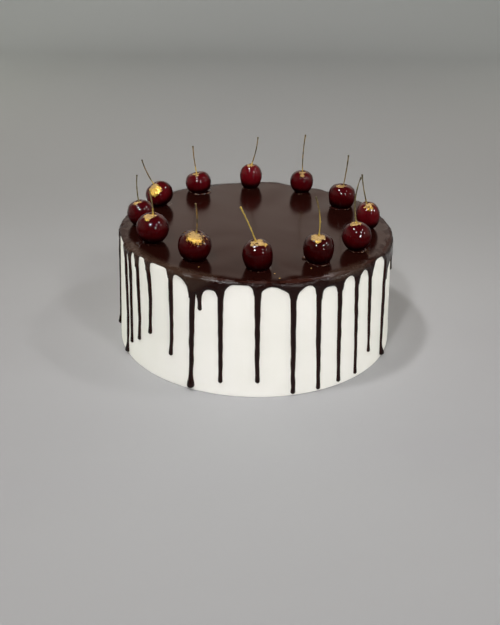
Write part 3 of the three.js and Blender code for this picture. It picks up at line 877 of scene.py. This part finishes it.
def drip_strand(drip, joint, full, number):
    """The rows of a drip below the band: its half width goes from the width at the top to
    two thirds of it, swells into a drop as exp(-(h / 1.6 r)^2) above the drop's middle, and
    closes below it in a half circle. Its relief is about its half width."""
    drop = drip["bead"] / 2
    middle = drip["foot"] + drop
    length = float(joint.mean() - middle)
    steps = max(5, int(length / DRIP_STEP))
    share = (np.arange(1, steps + 1) / steps)[:, None]
    height = joint + (middle - joint) * share
    level = joint.mean() + (middle - joint.mean()) * share
    neck = drip["width"] / 2 * (1 - DRIP_NARROWING * share ** 0.8)
    # Each drip wanders in its own part of the random field.
    wobble = np.stack([level[:, 0], np.full(steps, 40.0 * number)], -1)
    fade = eased(share * 6)
    neck = neck * (1 + 0.05 * fade * ripple(wobble, 11, 21)[:, None])
    swell = bell((level - middle) / (DROP_BLEND * drop))
    half = neck + (drop - neck) * swell
    plump = 0.82 + 0.36 * swell * eased((drop - 1.6) / 0.9)
    relief = full + (half * plump - full) * fade
    turns = np.radians(np.array([20, 40, 58, 74]))[:, None]
    height = np.concatenate([height, middle - drop * np.sin(turns) + 0 * ACROSS])
    half = np.concatenate([half, drop * np.cos(turns)])
    relief = np.concatenate([relief, relief[-1] * np.cos(turns)])
    sway = np.concatenate([fade, np.ones_like(turns)]) * 0.12
    drift = sway * ripple(np.stack([height[:, 5], np.full(len(height), 9.0 * number)], -1),
                          17, 22)[:, None]
    out = -BURIED + (relief + BURIED) * np.sqrt(1 - ACROSS ** 2)
    radius = side_radius(height) + out
    angle = strand_centre(drip, height) + np.degrees((ACROSS * half + drift) / TOP_RADIUS)
    return around(angle, radius, height), out


def beyond_top(points):
    """0 on the flat top, 1 from the rim outwards."""
    return eased((np.hypot(points[:, 0], points[:, 1]) - RIM_START) / 4)


def painted_reflection_stretch(points):
    """Where a painted reflection of light from above makes the rim browner: a tongue that
    narrows downwards above the short drip, and the rim to its left and a little of it on the
    right."""
    angle = np.degrees(np.arctan2(points[:, 0], -points[:, 1]))
    down = (CAKE_HEIGHT - points[:, 2]) / 12
    tongue = eased((11 - 9 * down - np.abs(angle + 24)) / 4) * eased((1.2 - down) * 3)
    left = eased((angle + 72) / 10) * eased((-20 - angle) / 6) * eased((0.75 - down) * 4)
    right = eased((angle - 27) / 6) * eased((52 - angle) / 8) * eased((0.6 - down) * 4)
    return beyond_top(points) * np.maximum(0.45 * tongue, 0.65 * left + 0.5 * right)


def glaze_finish(settings):
    """Dark glossy chocolate: a little redder where it is thin, with a painted reflection that
    makes part of its rim browner, faint clouds in its gloss, a very fine unevenness, and
    wrinkles and duller stretches along the rim."""
    finish = new_finish("Poured chocolate")
    clouds, fine, wrinkles = finish.noise(30, 3), finish.noise(260, 3), finish.noise(130, 2)
    rim = finish.attribute("rim")
    depth = finish.attribute("thickness").eased(0.0, 1.5)
    dark = finish.mix(depth, settings.thin, settings.base)
    dull = wrinkles.eased(0.42, 0.6) * 0.17
    return finish.surface({
        # Painted reflection: part of the rim is browner.
        "Base Color": finish.mix(finish.attribute("painted_reflection"), dark, settings.painted_reflection),
        "Roughness": 0.15 + clouds * 0.06 + rim * dull,
        "IOR": 1.28,
        "Normal": finish.bump(clouds * 0.8 + fine * 0.2 + rim * wrinkles * 3, 0.0002, 0.12),
    })


class CAKE_OT_cherries(bpy.types.Operator):
    """Make the glazed cherries with their gold leaf"""
    bl_idname = "cake.cherries"
    bl_label = "Cherries"

    def execute(self, context):
        settings = context.scene.cake_cherries
        finish = cherry_finish(settings)
        for number, cherry in enumerate(CHERRIES, 1):
            points, faces, attributes = glazed_cherry(cherry, number, settings)
            make_piece(f"glazed_cherry_{number:02d}", points, faces, finish, "cherry_skin",
                       [f"cherry_{number:02d}"], attributes)
        return {"FINISHED"}


def cherry_place(cherry):
    """Where a cherry rests, its middle, half its height and its lean about the front-to-back
    axis."""
    at, ring, _, tall, nod = cherry[:5]
    aside, behind = cherry[9]
    lift = FRUIT_LIFT + float(back_rise(at, ring))
    rest = around(at, ring, CAKE_HEIGHT) + (aside, behind, lift)
    half = tall * GEL_GROWTH / 2
    lean = np.array(Matrix.Rotation(math.radians(nod), 3, "Y"))
    return rest, rest + (0, 0, half - FRUIT_SINK), half, lean


def leaning(cherry, points):
    """Points of a bare or glazed fruit where they are on the cake."""
    _, middle, _, lean = cherry_place(cherry)
    return points @ lean.T + middle


def stem_hollow(cherry):
    """The lowest point of the hollow for the stem, on the cake."""
    return leaning(cherry, cherry_skin(cherry, 0.0, 1e-4))


def cherry_directions(turn, down):
    """Unit vectors at angles round the fruit and down from its top."""
    return np.stack([np.sin(down) * np.sin(turn), -np.sin(down) * np.cos(turn),
                     np.cos(down)], -1)


def cherry_skin(cherry, turn, down):
    """Points of a bare fruit before it leans: a ball squared off by a power p, as sin^p and
    cos^p of the angle d down from its top. Its lower half keeps a share q of a fuller curve,
    (1 - q) sin^p d + q sin^0.35 d, and it has a seam down one side and a hollow for the
    stem."""
    at, _, wide, _, _, power, fullness = cherry[:7]
    off_seam = turn - math.radians(at * SEAM_TURN)
    groove = SEAM_DEPTH * bell(np.arctan2(np.sin(off_seam), np.cos(off_seam)) / SEAM_WIDTH)
    level = np.cos(down)
    reach = np.sin(down) ** power
    fuller = (1 - fullness) * reach + fullness * np.sin(down) ** 0.35
    reach = reach + (fuller - reach) * eased((down - math.pi / 2) / 0.9)
    radius = wide / 2 * reach * (1 - groove + 0.03 * level)
    hollow = HOLLOW_DEPTH * bell(radius / HOLLOW_REACH) * (down < math.pi / 2)
    height = cherry_place(cherry)[2] * np.sign(level) * np.abs(level) ** power - hollow
    return np.stack([radius * np.sin(turn), -radius * np.cos(turn), height], -1)


def leaf_field(number, directions):
    """How far inside the gold leaf each direction is: the largest of (r - a) / r over the
    patches, where a is the angle to a patch's middle and r its radius."""
    patches = np.radians(np.array(LEAF_PATCHES[number - 1], float))
    middles = cherry_directions(patches[:, 0], patches[:, 1])
    apart = np.arccos(np.clip(directions @ middles.T, -1, 1))
    return ((patches[:, 2] - apart) / np.maximum(patches[:, 2], 0.2)).max(-1)


def glazed_cherry(cherry, number, settings):
    """A fruit under clear gel: the bare skin moved outwards by slow lumps, by ridges that
    run down it, and by crumpled gold leaf."""
    share = np.arange(1, settings.rows) / settings.rows
    downs = math.pi * (0.75 * share + 0.25 * share ** 2)
    turn, down = np.meshgrid(circle(settings.columns), downs)
    directions = cherry_directions(turn, down)
    seed = 100 + number
    lumps = ripple(directions, 1.1, seed) + 0.45 * ripple(directions, 0.45, seed + 20)
    runs = ripple(np.stack([np.sin(turn), np.cos(turn), down * 0.12], -1), 0.5, seed + 40)
    gel = mm(settings.gel_unevenness) * (lumps + 0.35 * runs * eased((down - 0.9) / 0.8))
    leaf = leaf_field(number, directions)
    crumple = np.abs(ripple(directions, 0.16, seed + 60)) + 0.5 * np.abs(
        ripple(directions, 0.07, seed + 80))
    raised = eased((leaf + 0.05) / 0.12) * mm(settings.leaf_height) * (0.35 + 0.6 * crumple)
    moved = directions * (gel * eased(down / 0.5) + raised)[..., None]
    placed = leaning(cherry, cherry_skin(cherry, turn, down) + moved)
    seat = cherry_place(cherry)[0][2] - SEAT_DEPTH
    placed[..., 2] = np.maximum(placed[..., 2], seat)
    foot = (*placed[-1, :, :2].mean(0), seat)
    points, faces = closed_skin(placed, stem_hollow(cherry), foot)
    level = np.cos(down)
    # Painted shade: glow falls towards the fruit's sides and below its middle, and the finish
    # darkens the red there.
    towards = np.abs(directions[..., 1])
    glow = eased((towards + 0.35 * level + 0.15) / 0.95) * eased((level + 0.62) / 0.5)
    pole_leaf = leaf_field(number, np.array([(0.0, 0.0, 1.0), (0.0, 0.0, -1.0)]))
    ragged = RAGGED_SHARE if number in RAGGED_LEAVES else 1.0
    return points, faces, {
        "leaf": np.append(leaf, pole_leaf) * ragged,
        "level": np.append(level, [1, -1]),
        "glow": np.append(glow, [0.5, 0]),
        "bright": np.full(len(points), cherry[7]),
        "dull": np.full(len(points), float(number in DULL_LEAVES)),
    }


def cherry_finish(settings):
    """Dark red fruit under clear gel, with painted shade that darkens its red towards its sides
    and foot, and gold leaf that breaks up at its edge: the leaf shows where its field plus a
    fine noise is above nought."""
    finish = new_finish("Glazed cherry")
    flakes = finish.noise(1300, 5, 0.7)
    folds = finish.noise(520, 3, 0.6)
    blush = finish.noise(120, 2)
    torn = (flakes - 0.5) * 1.2 + (folds - 0.5) * 1.4
    leaf = (finish.attribute("leaf") + torn).eased(-0.02, 0.05)
    level = finish.attribute("level")
    flat = (level + (folds - 0.5) * 0.3).eased(0.66, 0.86)
    bright = finish.attribute("bright") + (blush - 0.5) * 0.4
    red = finish.mix(bright, settings.deep, settings.bright)
    # Painted shade: the red darkens where glow is low, at the fruit's sides and foot.
    red = finish.mix(finish.attribute("glow"), settings.shadow, red)
    gold = finish.mix(folds.eased(0.42, 0.6), settings.gold, settings.pale_gold)
    thin = 1 - finish.attribute("leaf").eased(0.0, 0.35)
    gold = finish.mix(thin * 0.8, gold, settings.thin_gold)
    gold = finish.mix(flat, gold, settings.tan_gold)
    dull = finish.attribute("dull")
    gold = finish.mix(dull * 0.8, gold, settings.dull_gold)
    bumps = leaf * (folds * 1.8 + flakes * 0.5) + blush * 0.3
    return finish.surface({
        "Base Color": finish.mix(leaf, red, gold),
        "Metallic": leaf * (0.95 - flat * 0.75) * (1 - dull * 0.6),
        "Roughness": 0.30 + leaf * (folds * 0.2 + flat * 0.2),
        "IOR": 1.03,
        "Coat Weight": (1 - leaf * 0.75) * (0.15 + level.eased(0.05, 0.42) * 0.85),
        "Coat Roughness": 0.03,
        "Coat IOR": 1.38,
        "Normal": finish.bump(bumps, 0.0006, 0.8),
    })


class CAKE_OT_stems(bpy.types.Operator):
    """Make the cherry stems"""
    bl_idname = "cake.stems"
    bl_label = "Stems"

    def execute(self, context):
        settings = context.scene.cake_stems
        finish = stem_finish(settings)
        for number, cherry in enumerate(CHERRIES, 1):
            points, faces, attributes = cherry_stem(cherry, number, settings)
            make_piece(f"stem_{number:02d}", points, faces, finish, "cherry_stem",
                       [f"cherry_stem_{number:02d}"], attributes)
        return {"FINISHED"}


def cherry_stem(cherry, number, settings):
    """A round section carried along a smooth line from the hollow to the tip. The radius
    is larger at the foot, and swells into a small cut knob at the tip."""
    sides, steps = settings.sides, settings.steps
    sideways, back, up, bow = cherry[10]
    foot = stem_hollow(cherry)
    start = foot + (0, 0, 0.15)
    tip = foot + (sideways, back, up + 0.9)
    bend = foot + (0, 0, 0.9) + (tip - foot - (0, 0, 0.9)) / 2 + (bow, 0, 0)
    share = np.linspace(1, 0, steps)
    along = share[:, None]
    line = ((1 - along) * (1 - 2 * along) * start + 4 * along * (1 - along) * bend
            + along * (2 * along - 1) * tip)
    forward = -np.gradient(line, axis=0)
    forward /= np.linalg.norm(forward, axis=1, keepdims=True)
    out = np.cross(forward, (0.0, 1.0, 0.0))
    out /= np.linalg.norm(out, axis=1, keepdims=True)
    other = np.cross(forward, out)
    wander = ripple(np.stack([share * 9, np.full(steps, number * 5.0)], -1), 2.0, 61)
    swell = STEM_FOOT_SWELL * bell(share / 0.06) + STEM_KNOB_SWELL * bell((1 - share) / 0.05)
    thick = mm(settings.radius) * (1 + swell + 0.10 * wander)
    turn = circle(sides)[:, None]
    ring = np.cos(turn) * out[:, None] + np.sin(turn) * other[:, None]
    skin = line[:, None] + ring * thick[:, None, None]
    points, faces = closed_skin(skin, line[0] + forward[0] * thick[0] * 0.4, line[-1])
    gilt, ripe = STEM_TONES[number - 1]
    return points, faces, {
        "along": np.append(np.repeat(share, sides), [1, 0]),
        "gilt": np.full(len(points), gilt),
        "ripe": np.full(len(points), ripe),
    }


def stem_finish(settings):
    """Olive stem with darker stretches, a brown knob and gold leaf clinging to its foot."""
    finish = new_finish("Cherry stem")
    along = finish.attribute("along")
    patches = finish.noise(160, 3)
    fine = finish.noise(900, 3)
    golden = (finish.attribute("gilt") - along + (patches - 0.5) * 0.6).eased(-0.05, 0.2)
    plain = finish.mix(finish.attribute("ripe"), settings.olive, settings.brown)
    shaded = finish.mix(patches.eased(0.38, 0.62), plain, settings.dark)
    skin = finish.mix(along.eased(0.93, 0.99) * 0.6, shaded, settings.dark)
    return finish.surface({
        "Base Color": finish.mix(golden, skin, settings.gold),
        "Metallic": golden * 0.6,
        "Roughness": 0.45 - golden * 0.12,
        "Coat Weight": 0.3,
        "Coat Roughness": 0.1,
        "Normal": finish.bump(fine + patches, 0.0003, 0.5),
    })


class CAKE_OT_gel_rims(bpy.types.Operator):
    """Make the clear gel that has run down round the cherries' feet"""
    bl_idname = "cake.gel_rims"
    bl_label = "Gel rims"

    def execute(self, context):
        rims = [gel_rim(cherry, number) for number, cherry in enumerate(CHERRIES, 1)]
        points, faces = joined([rim[:2] for rim in rims])
        make_piece("gel_rims", points, faces, gel_finish(context.scene.cake_cherries),
                   "cherry_skin", attributes={"painted_highlight": np.concatenate([rim[2] for rim in rims])})
        return {"FINISHED"}


def gel_rim(cherry, number):
    """A low ring round a foot: out from the foot's edge its height falls as the mean of
    (1 - s)^2.2 and sqrt(1 - s^2), and its width changes with the angle."""
    turn = circle(72)
    rest, _, half, _ = cherry_place(cherry)
    down = np.full(len(turn), math.acos(-(half - 1.5) / half))
    inner = leaning(cherry, cherry_skin(cherry, turn, down))[:, :2]
    centre = inner.mean(0)
    size = np.linalg.norm(inner - centre, axis=1)
    ray = (inner - centre) / size[:, None]
    unit = np.stack([np.sin(turn), np.cos(turn)], -1)
    amount = cherry[8]
    width = 1.0 + 0.45 * ripple(unit, 1.2, 300 + number) + 0.25 * ripple(unit, 0.5, 330 + number)
    width = 2.2 * amount * np.clip(width, 0.35, 2.2) + 0.2
    tall = 1.2 * amount * np.clip(0.75 + 0.3 * ripple(unit, 0.9, 360 + number), 0.3, 1.4) + 0.1
    share = np.array([-0.7, -0.3, 0.0, 0.15, 0.32, 0.5, 0.7, 0.88, 1.0])[:, None]
    reach = size + width * share
    flat = centre + ray * reach[..., None]
    ground = rest[2] - 0.3 + TOP_SLOPE * (flat[..., 0] - rest[0])
    past = np.clip(share, 0, 1)
    height = ground + tall * (0.5 * (1 - past) ** 2.2 + 0.5 * np.sqrt(1 - past ** 2)) - 0.1
    height = np.concatenate([height, [ground[-1] - 0.25]])
    flat = np.concatenate([flat, [centre + ray * (reach[-1] - 0.1)[:, None]]])
    skin = np.concatenate([flat, height[..., None]], -1)
    points, faces = closed_skin(skin, (*centre, height[0].mean()), (*centre, height[-1].mean()))
    # Painted highlight: a paler colour in patches along the ring's outer edge.
    patchy = eased(0.1 + 0.8 * ripple(unit, 0.45, 390 + number)) * min(1, 1.7 * amount)
    painted_highlight = np.append(np.append(eased((past - 0.6) / 0.2), [[1.0]], 0) * patchy, [0, 0])
    return points, faces, painted_highlight


def gel_finish(settings):
    """Clear gel over dark glaze, dark and very glossy, with a painted highlight: a paler outer
    edge in places.
    """
    finish = new_finish("Clear gel")
    lumps = finish.noise(240, 2)
    painted_highlight = finish.attribute("painted_highlight") * lumps.eased(0.35, 0.6)
    return finish.surface({
        "Base Color": finish.mix(painted_highlight, settings.gel, settings.painted_highlight),
        "Roughness": 0.06,
        "IOR": 1.38,
        "Normal": finish.bump(lumps, 0.0006, 0.4),
    })


class CAKE_OT_gold_flecks(bpy.types.Operator):
    """Scatter the few loose gold flecks on the glaze"""
    bl_idname = "cake.gold_flecks"
    bl_label = "Gold flecks"

    def execute(self, context):
        points, faces = joined([gold_fleck(fleck, at) for at, fleck in enumerate(FLECKS, 1)])
        make_piece("gold_flecks", points, faces,
                   fleck_finish(context.scene.cake_cherries), "gold_leaf")
        return {"FINISHED"}


class CAKE_OT_crumb(bpy.types.Operator):
    """Make the crumb of chocolate beside one cherry"""
    bl_idname = "cake.crumb"
    bl_label = "Chocolate crumb"

    def execute(self, context):
        points, faces = gold_fleck(CRUMB, 9, CRUMB_PLUMPNESS)
        make_piece("chocolate_crumb", points, faces, crumb_finish(context.scene.cake_glaze),
                   "chocolate_glaze")
        return {"FINISHED"}


def crumb_finish(settings):
    """Broken chocolate, paler and duller than the glaze."""
    finish = new_finish("Broken chocolate")
    patches = finish.noise(700, 3)
    return finish.surface({
        "Base Color": finish.mix(patches, settings.crumb, settings.pale_crumb),
        "Roughness": 0.4,
        "Normal": finish.bump(patches, 0.0004, 0.6),
    })


def gold_fleck(fleck, number, plumpness=1.0):
    """A crumpled scale: two round sheets with a ragged outline, closed at the rim. It sinks
    a little where the rim of the glaze falls away."""
    x, y, size = fleck
    turn = circle(20)
    unit = np.stack([np.cos(turn), np.sin(turn)], -1)
    outline = size * (0.75 + 0.3 * ripple(unit, 0.9, 400 + number))
    share = np.array([0.45, 0.8, 1.0, 0.8])[:, None]
    flat = unit * (outline * share)[..., None]
    fold = 0.12 * ripple(np.pad(flat, ((0, 0), (0, 0), (0, 1))), size, number)
    lift = plumpness * np.array([0.28, 0.24, 0.12, -0.05])[:, None] + np.abs(fold) * 0.5
    sink = 0.04 * max(0, math.hypot(x, y) - 99.5)
    ground = CAKE_HEIGHT - sink + TOP_SLOPE * (x + flat[..., 0])
    skin = np.concatenate([flat + (x, y), (ground + lift)[..., None]], -1)
    middle = ground.mean()
    return closed_skin(skin, (x, y, middle + 0.3 * plumpness), (x, y, middle - 0.1))


def fleck_finish(settings):
    """Crumpled gold."""
    finish = new_finish("Gold fleck")
    folds = finish.noise(1500, 3)
    return finish.surface({
        "Base Color": finish.mix(folds, settings.pale_gold, settings.tan_gold),
        "Metallic": 0.5,
        "Roughness": 0.35 + folds * 0.2,
        "Normal": finish.bump(folds, 0.0005, 0.8),
    })


# The far part of the floor: where it begins to bend, and the radius of the bend, in metres.
FLOOR_BACK = 1.2
FLOOR_BEND = 0.4

# Where the lamps stand, as directions from the cake, each with its share of the light.
LAMPS = (
    ((-0.33, -0.15, 0.92), 1.1),
    ((0.60, -0.05, 0.79), 0.35),
    ((-0.22, -0.67, 0.71), 1.0),
    ((0.44, -0.60, 0.68), 0.5),
    ((0.86, -0.25, 0.45), 0.2),
    ((0.45, -0.84, 0.28), 0.28),
)
LAMP_COLOUR = (1.0, 0.99, 0.975)
LAMP_SPREAD = math.radians(70)
# The height that lamps and screens point at, and the side of a screen, in metres.
AIM_HEIGHT = 0.08
SCREEN_SIDE = 0.6

# The broad screens that fill in the sides and the front without a mirror image: direction,
# radiance and colour.
SCREENS = (
    ((-0.88, 0.46, 0.20), 6.6, (0.94, 1.0, 0.80)),
    ((0.88, 0.46, 0.20), 5.0, (0.95, 1.0, 0.83)),
    ((0.0, -0.92, 0.38), 3.1, (1.0, 0.99, 0.98)),
)

# The room: its front and ceiling, its sides, the dark above the back wall, and the upper and
# the lower part of the lit back wall, which the glaze mirrors.
ROOM = (0.05, 0.042, 0.038)
SIDE_WALLS = (0.30, 0.32, 0.28)
DARK_BACK = (0.09, 0.038, 0.022)
LIT_BACK = (1.0, 0.775, 0.66)
LOW_BACK = (0.68, 0.57, 0.50)

# Where the camera stands, in metres, and how far it turns left, looks down and rolls, in
# radians.
CAMERA_AT = (0, -0.6533, 0.3458)
CAMERA_TURN, CAMERA_DOWN, CAMERA_ROLL = 0.006, 0.471, 0.014


class CAKE_OT_stage(bpy.types.Operator):
    """Set up the floor, the lamps and the camera"""
    bl_idname = "cake.stage"
    bl_label = "Stage"

    def execute(self, context):
        settings = context.scene.cake_stage
        make_floor(settings)
        light_stage(context, settings)
        place_camera(context, settings)
        return {"FINISHED"}


def make_floor(settings):
    """A pale floor that rises in a quarter circle into a low back."""
    bend = np.radians(np.linspace(0, 90, 16))
    run = np.concatenate([[-3.0, -1.0, 0.0, 0.8], FLOOR_BACK + FLOOR_BEND * np.sin(bend)])
    rise = np.concatenate([[0, 0, 0, 0], FLOOR_BEND - FLOOR_BEND * np.cos(bend)])
    y, x = np.meshgrid(run, np.linspace(-3, 3, 13), indexing="ij")
    points = np.stack(np.broadcast_arrays(x, y, rise[:, None]), -1).reshape(-1, 3)
    index = np.arange(len(points)).reshape(y.shape)[::-1]
    finish = new_finish("Pale floor")
    dimmer = [0.97 * part for part in settings.floor]
    near = finish.mix(finish.noise(3, 3), settings.floor, dimmer)
    away = finish.split("Object").eased(0.2, 1.5)
    material = finish.surface({
        "Base Color": finish.mix(away, near, settings.far_floor),
        "Roughness": 0.6,
    })
    floor = make_piece("floor", points / MM, [grid_faces(index)], material)


def light_stage(context, settings):
    """Small soft lamps overhead and in front, broad screens that glossy pieces don't mirror,
    and a dim world that is brighter at the back, where the glaze mirrors it."""
    for number, (direction, share) in enumerate(LAMPS, 1):
        lamp = hang_lamp(context, f"lamp_{number}", direction, settings.lamp_distance,
                         settings.lamp_size, settings.lamp_radiance * share, LAMP_COLOUR)
        lamp.data.spread = LAMP_SPREAD
    for number, (direction, radiance, tint) in enumerate(SCREENS, 1):
        screen = hang_lamp(context, f"screen_{number}", direction, settings.lamp_distance,
                           SCREEN_SIDE, radiance, tint)
        screen.visible_glossy = False
    world = bpy.data.worlds.new("Studio")
    context.scene.world = world
    finish = Finish(world)
    parts = finish.split("Generated")
    aside = parts.twin("X") * parts.twin("X")
    low = 1 - (parts.twin("Z") - aside * 1.3).eased(0.34, 0.50)
    walls = finish.mix(aside.eased(0.25, 0.85), ROOM, SIDE_WALLS)
    lit = finish.mix(parts.twin("Z").eased(0.30, 0.37), LOW_BACK, LIT_BACK)
    tint = finish.mix(parts.eased(0.45, 0.85), walls, finish.mix(low, DARK_BACK, lit))
    glow = finish.add("ShaderNodeBackground", {"Color": tint, "Strength": 1.0})
    finish.add("ShaderNodeOutputWorld", {"Surface": glow})
    context.scene.view_settings.view_transform = "Standard"


def hang_lamp(context, name, direction, distance, side, radiance, tint):
    """A square lamp in a direction from the cake, turned towards it. Its power is
    radiance times pi times its area."""
    lamp = bpy.data.lights.new(name, "AREA")
    lamp.shape = "SQUARE"
    lamp.size = side
    lamp.energy = radiance * math.pi * side * side
    lamp.color = tint
    holder = bpy.data.objects.new(name, lamp)
    context.scene.collection.objects.link(holder)
    away = np.array(direction) / np.linalg.norm(direction)
    level = math.hypot(away[0], away[1])
    holder.rotation_euler = (math.atan2(level, away[2]), 0, math.atan2(away[0], -away[1]))
    holder.location = away * distance + (0, 0, AIM_HEIGHT)
    return holder


def place_camera(context, settings):
    """The camera of the photograph: 0.65 m in front, 0.35 m up, looking down 27 degrees."""
    data = bpy.data.cameras.new("Camera")
    data.lens = settings.lens
    data.sensor_width = 36
    data.clip_start = 0.01
    camera = bpy.data.objects.new("Camera", data)
    context.scene.collection.objects.link(camera)
    pose = Matrix.Translation(CAMERA_AT)
    turns = ((CAMERA_TURN, "Z"), (math.pi / 2 - CAMERA_DOWN, "X"), (CAMERA_ROLL, "Z"))
    for turn, axis in turns:
        pose = pose @ Matrix.Rotation(turn, 4, axis)
    camera.matrix_world = pose
    context.scene.camera = camera


OPERATORS = (
    CAKE_OT_frosted_body,
    CAKE_OT_poured_glaze,
    CAKE_OT_cherries,
    CAKE_OT_stems,
    CAKE_OT_gel_rims,
    CAKE_OT_gold_flecks,
    CAKE_OT_crumb,
    CAKE_OT_stage,
)
SETTINGS = {
    "cake_frosting": FrostingSettings,
    "cake_glaze": GlazeSettings,
    "cake_cherries": CherrySettings,
    "cake_stems": StemSettings,
    "cake_stage": StageSettings,
}


class CAKE_PT_panel(bpy.types.Panel):
    """Lists the cake's pieces"""
    bl_idname = "CAKE_PT_panel"
    bl_label = "Cherry chocolate cake"
    bl_space_type = "VIEW_3D"
    bl_region_type = "UI"
    bl_category = "Cake"

    def draw(self, context):
        for operator in OPERATORS:
            self.layout.operator(operator.bl_idname)
        for name, kind in SETTINGS.items():
            box = self.layout.box()
            for key in kind.__annotations__:
                box.prop(getattr(context.scene, name), key)


def register():
    for kind in (*SETTINGS.values(), *OPERATORS, CAKE_PT_panel):
        bpy.utils.register_class(kind)
    for name, kind in SETTINGS.items():
        setattr(bpy.types.Scene, name, PointerProperty(type=kind))


def unregister():
    for name in SETTINGS:
        delattr(bpy.types.Scene, name)
    for kind in (CAKE_PT_panel, *OPERATORS[::-1], *list(SETTINGS.values())[::-1]):
        bpy.utils.unregister_class(kind)


def main():
    """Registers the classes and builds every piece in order."""
    register()
    for operator in OPERATORS:
        group, name = operator.bl_idname.split(".")
        getattr(getattr(bpy.ops, group), name)()


if __name__ == "__main__":
    main()
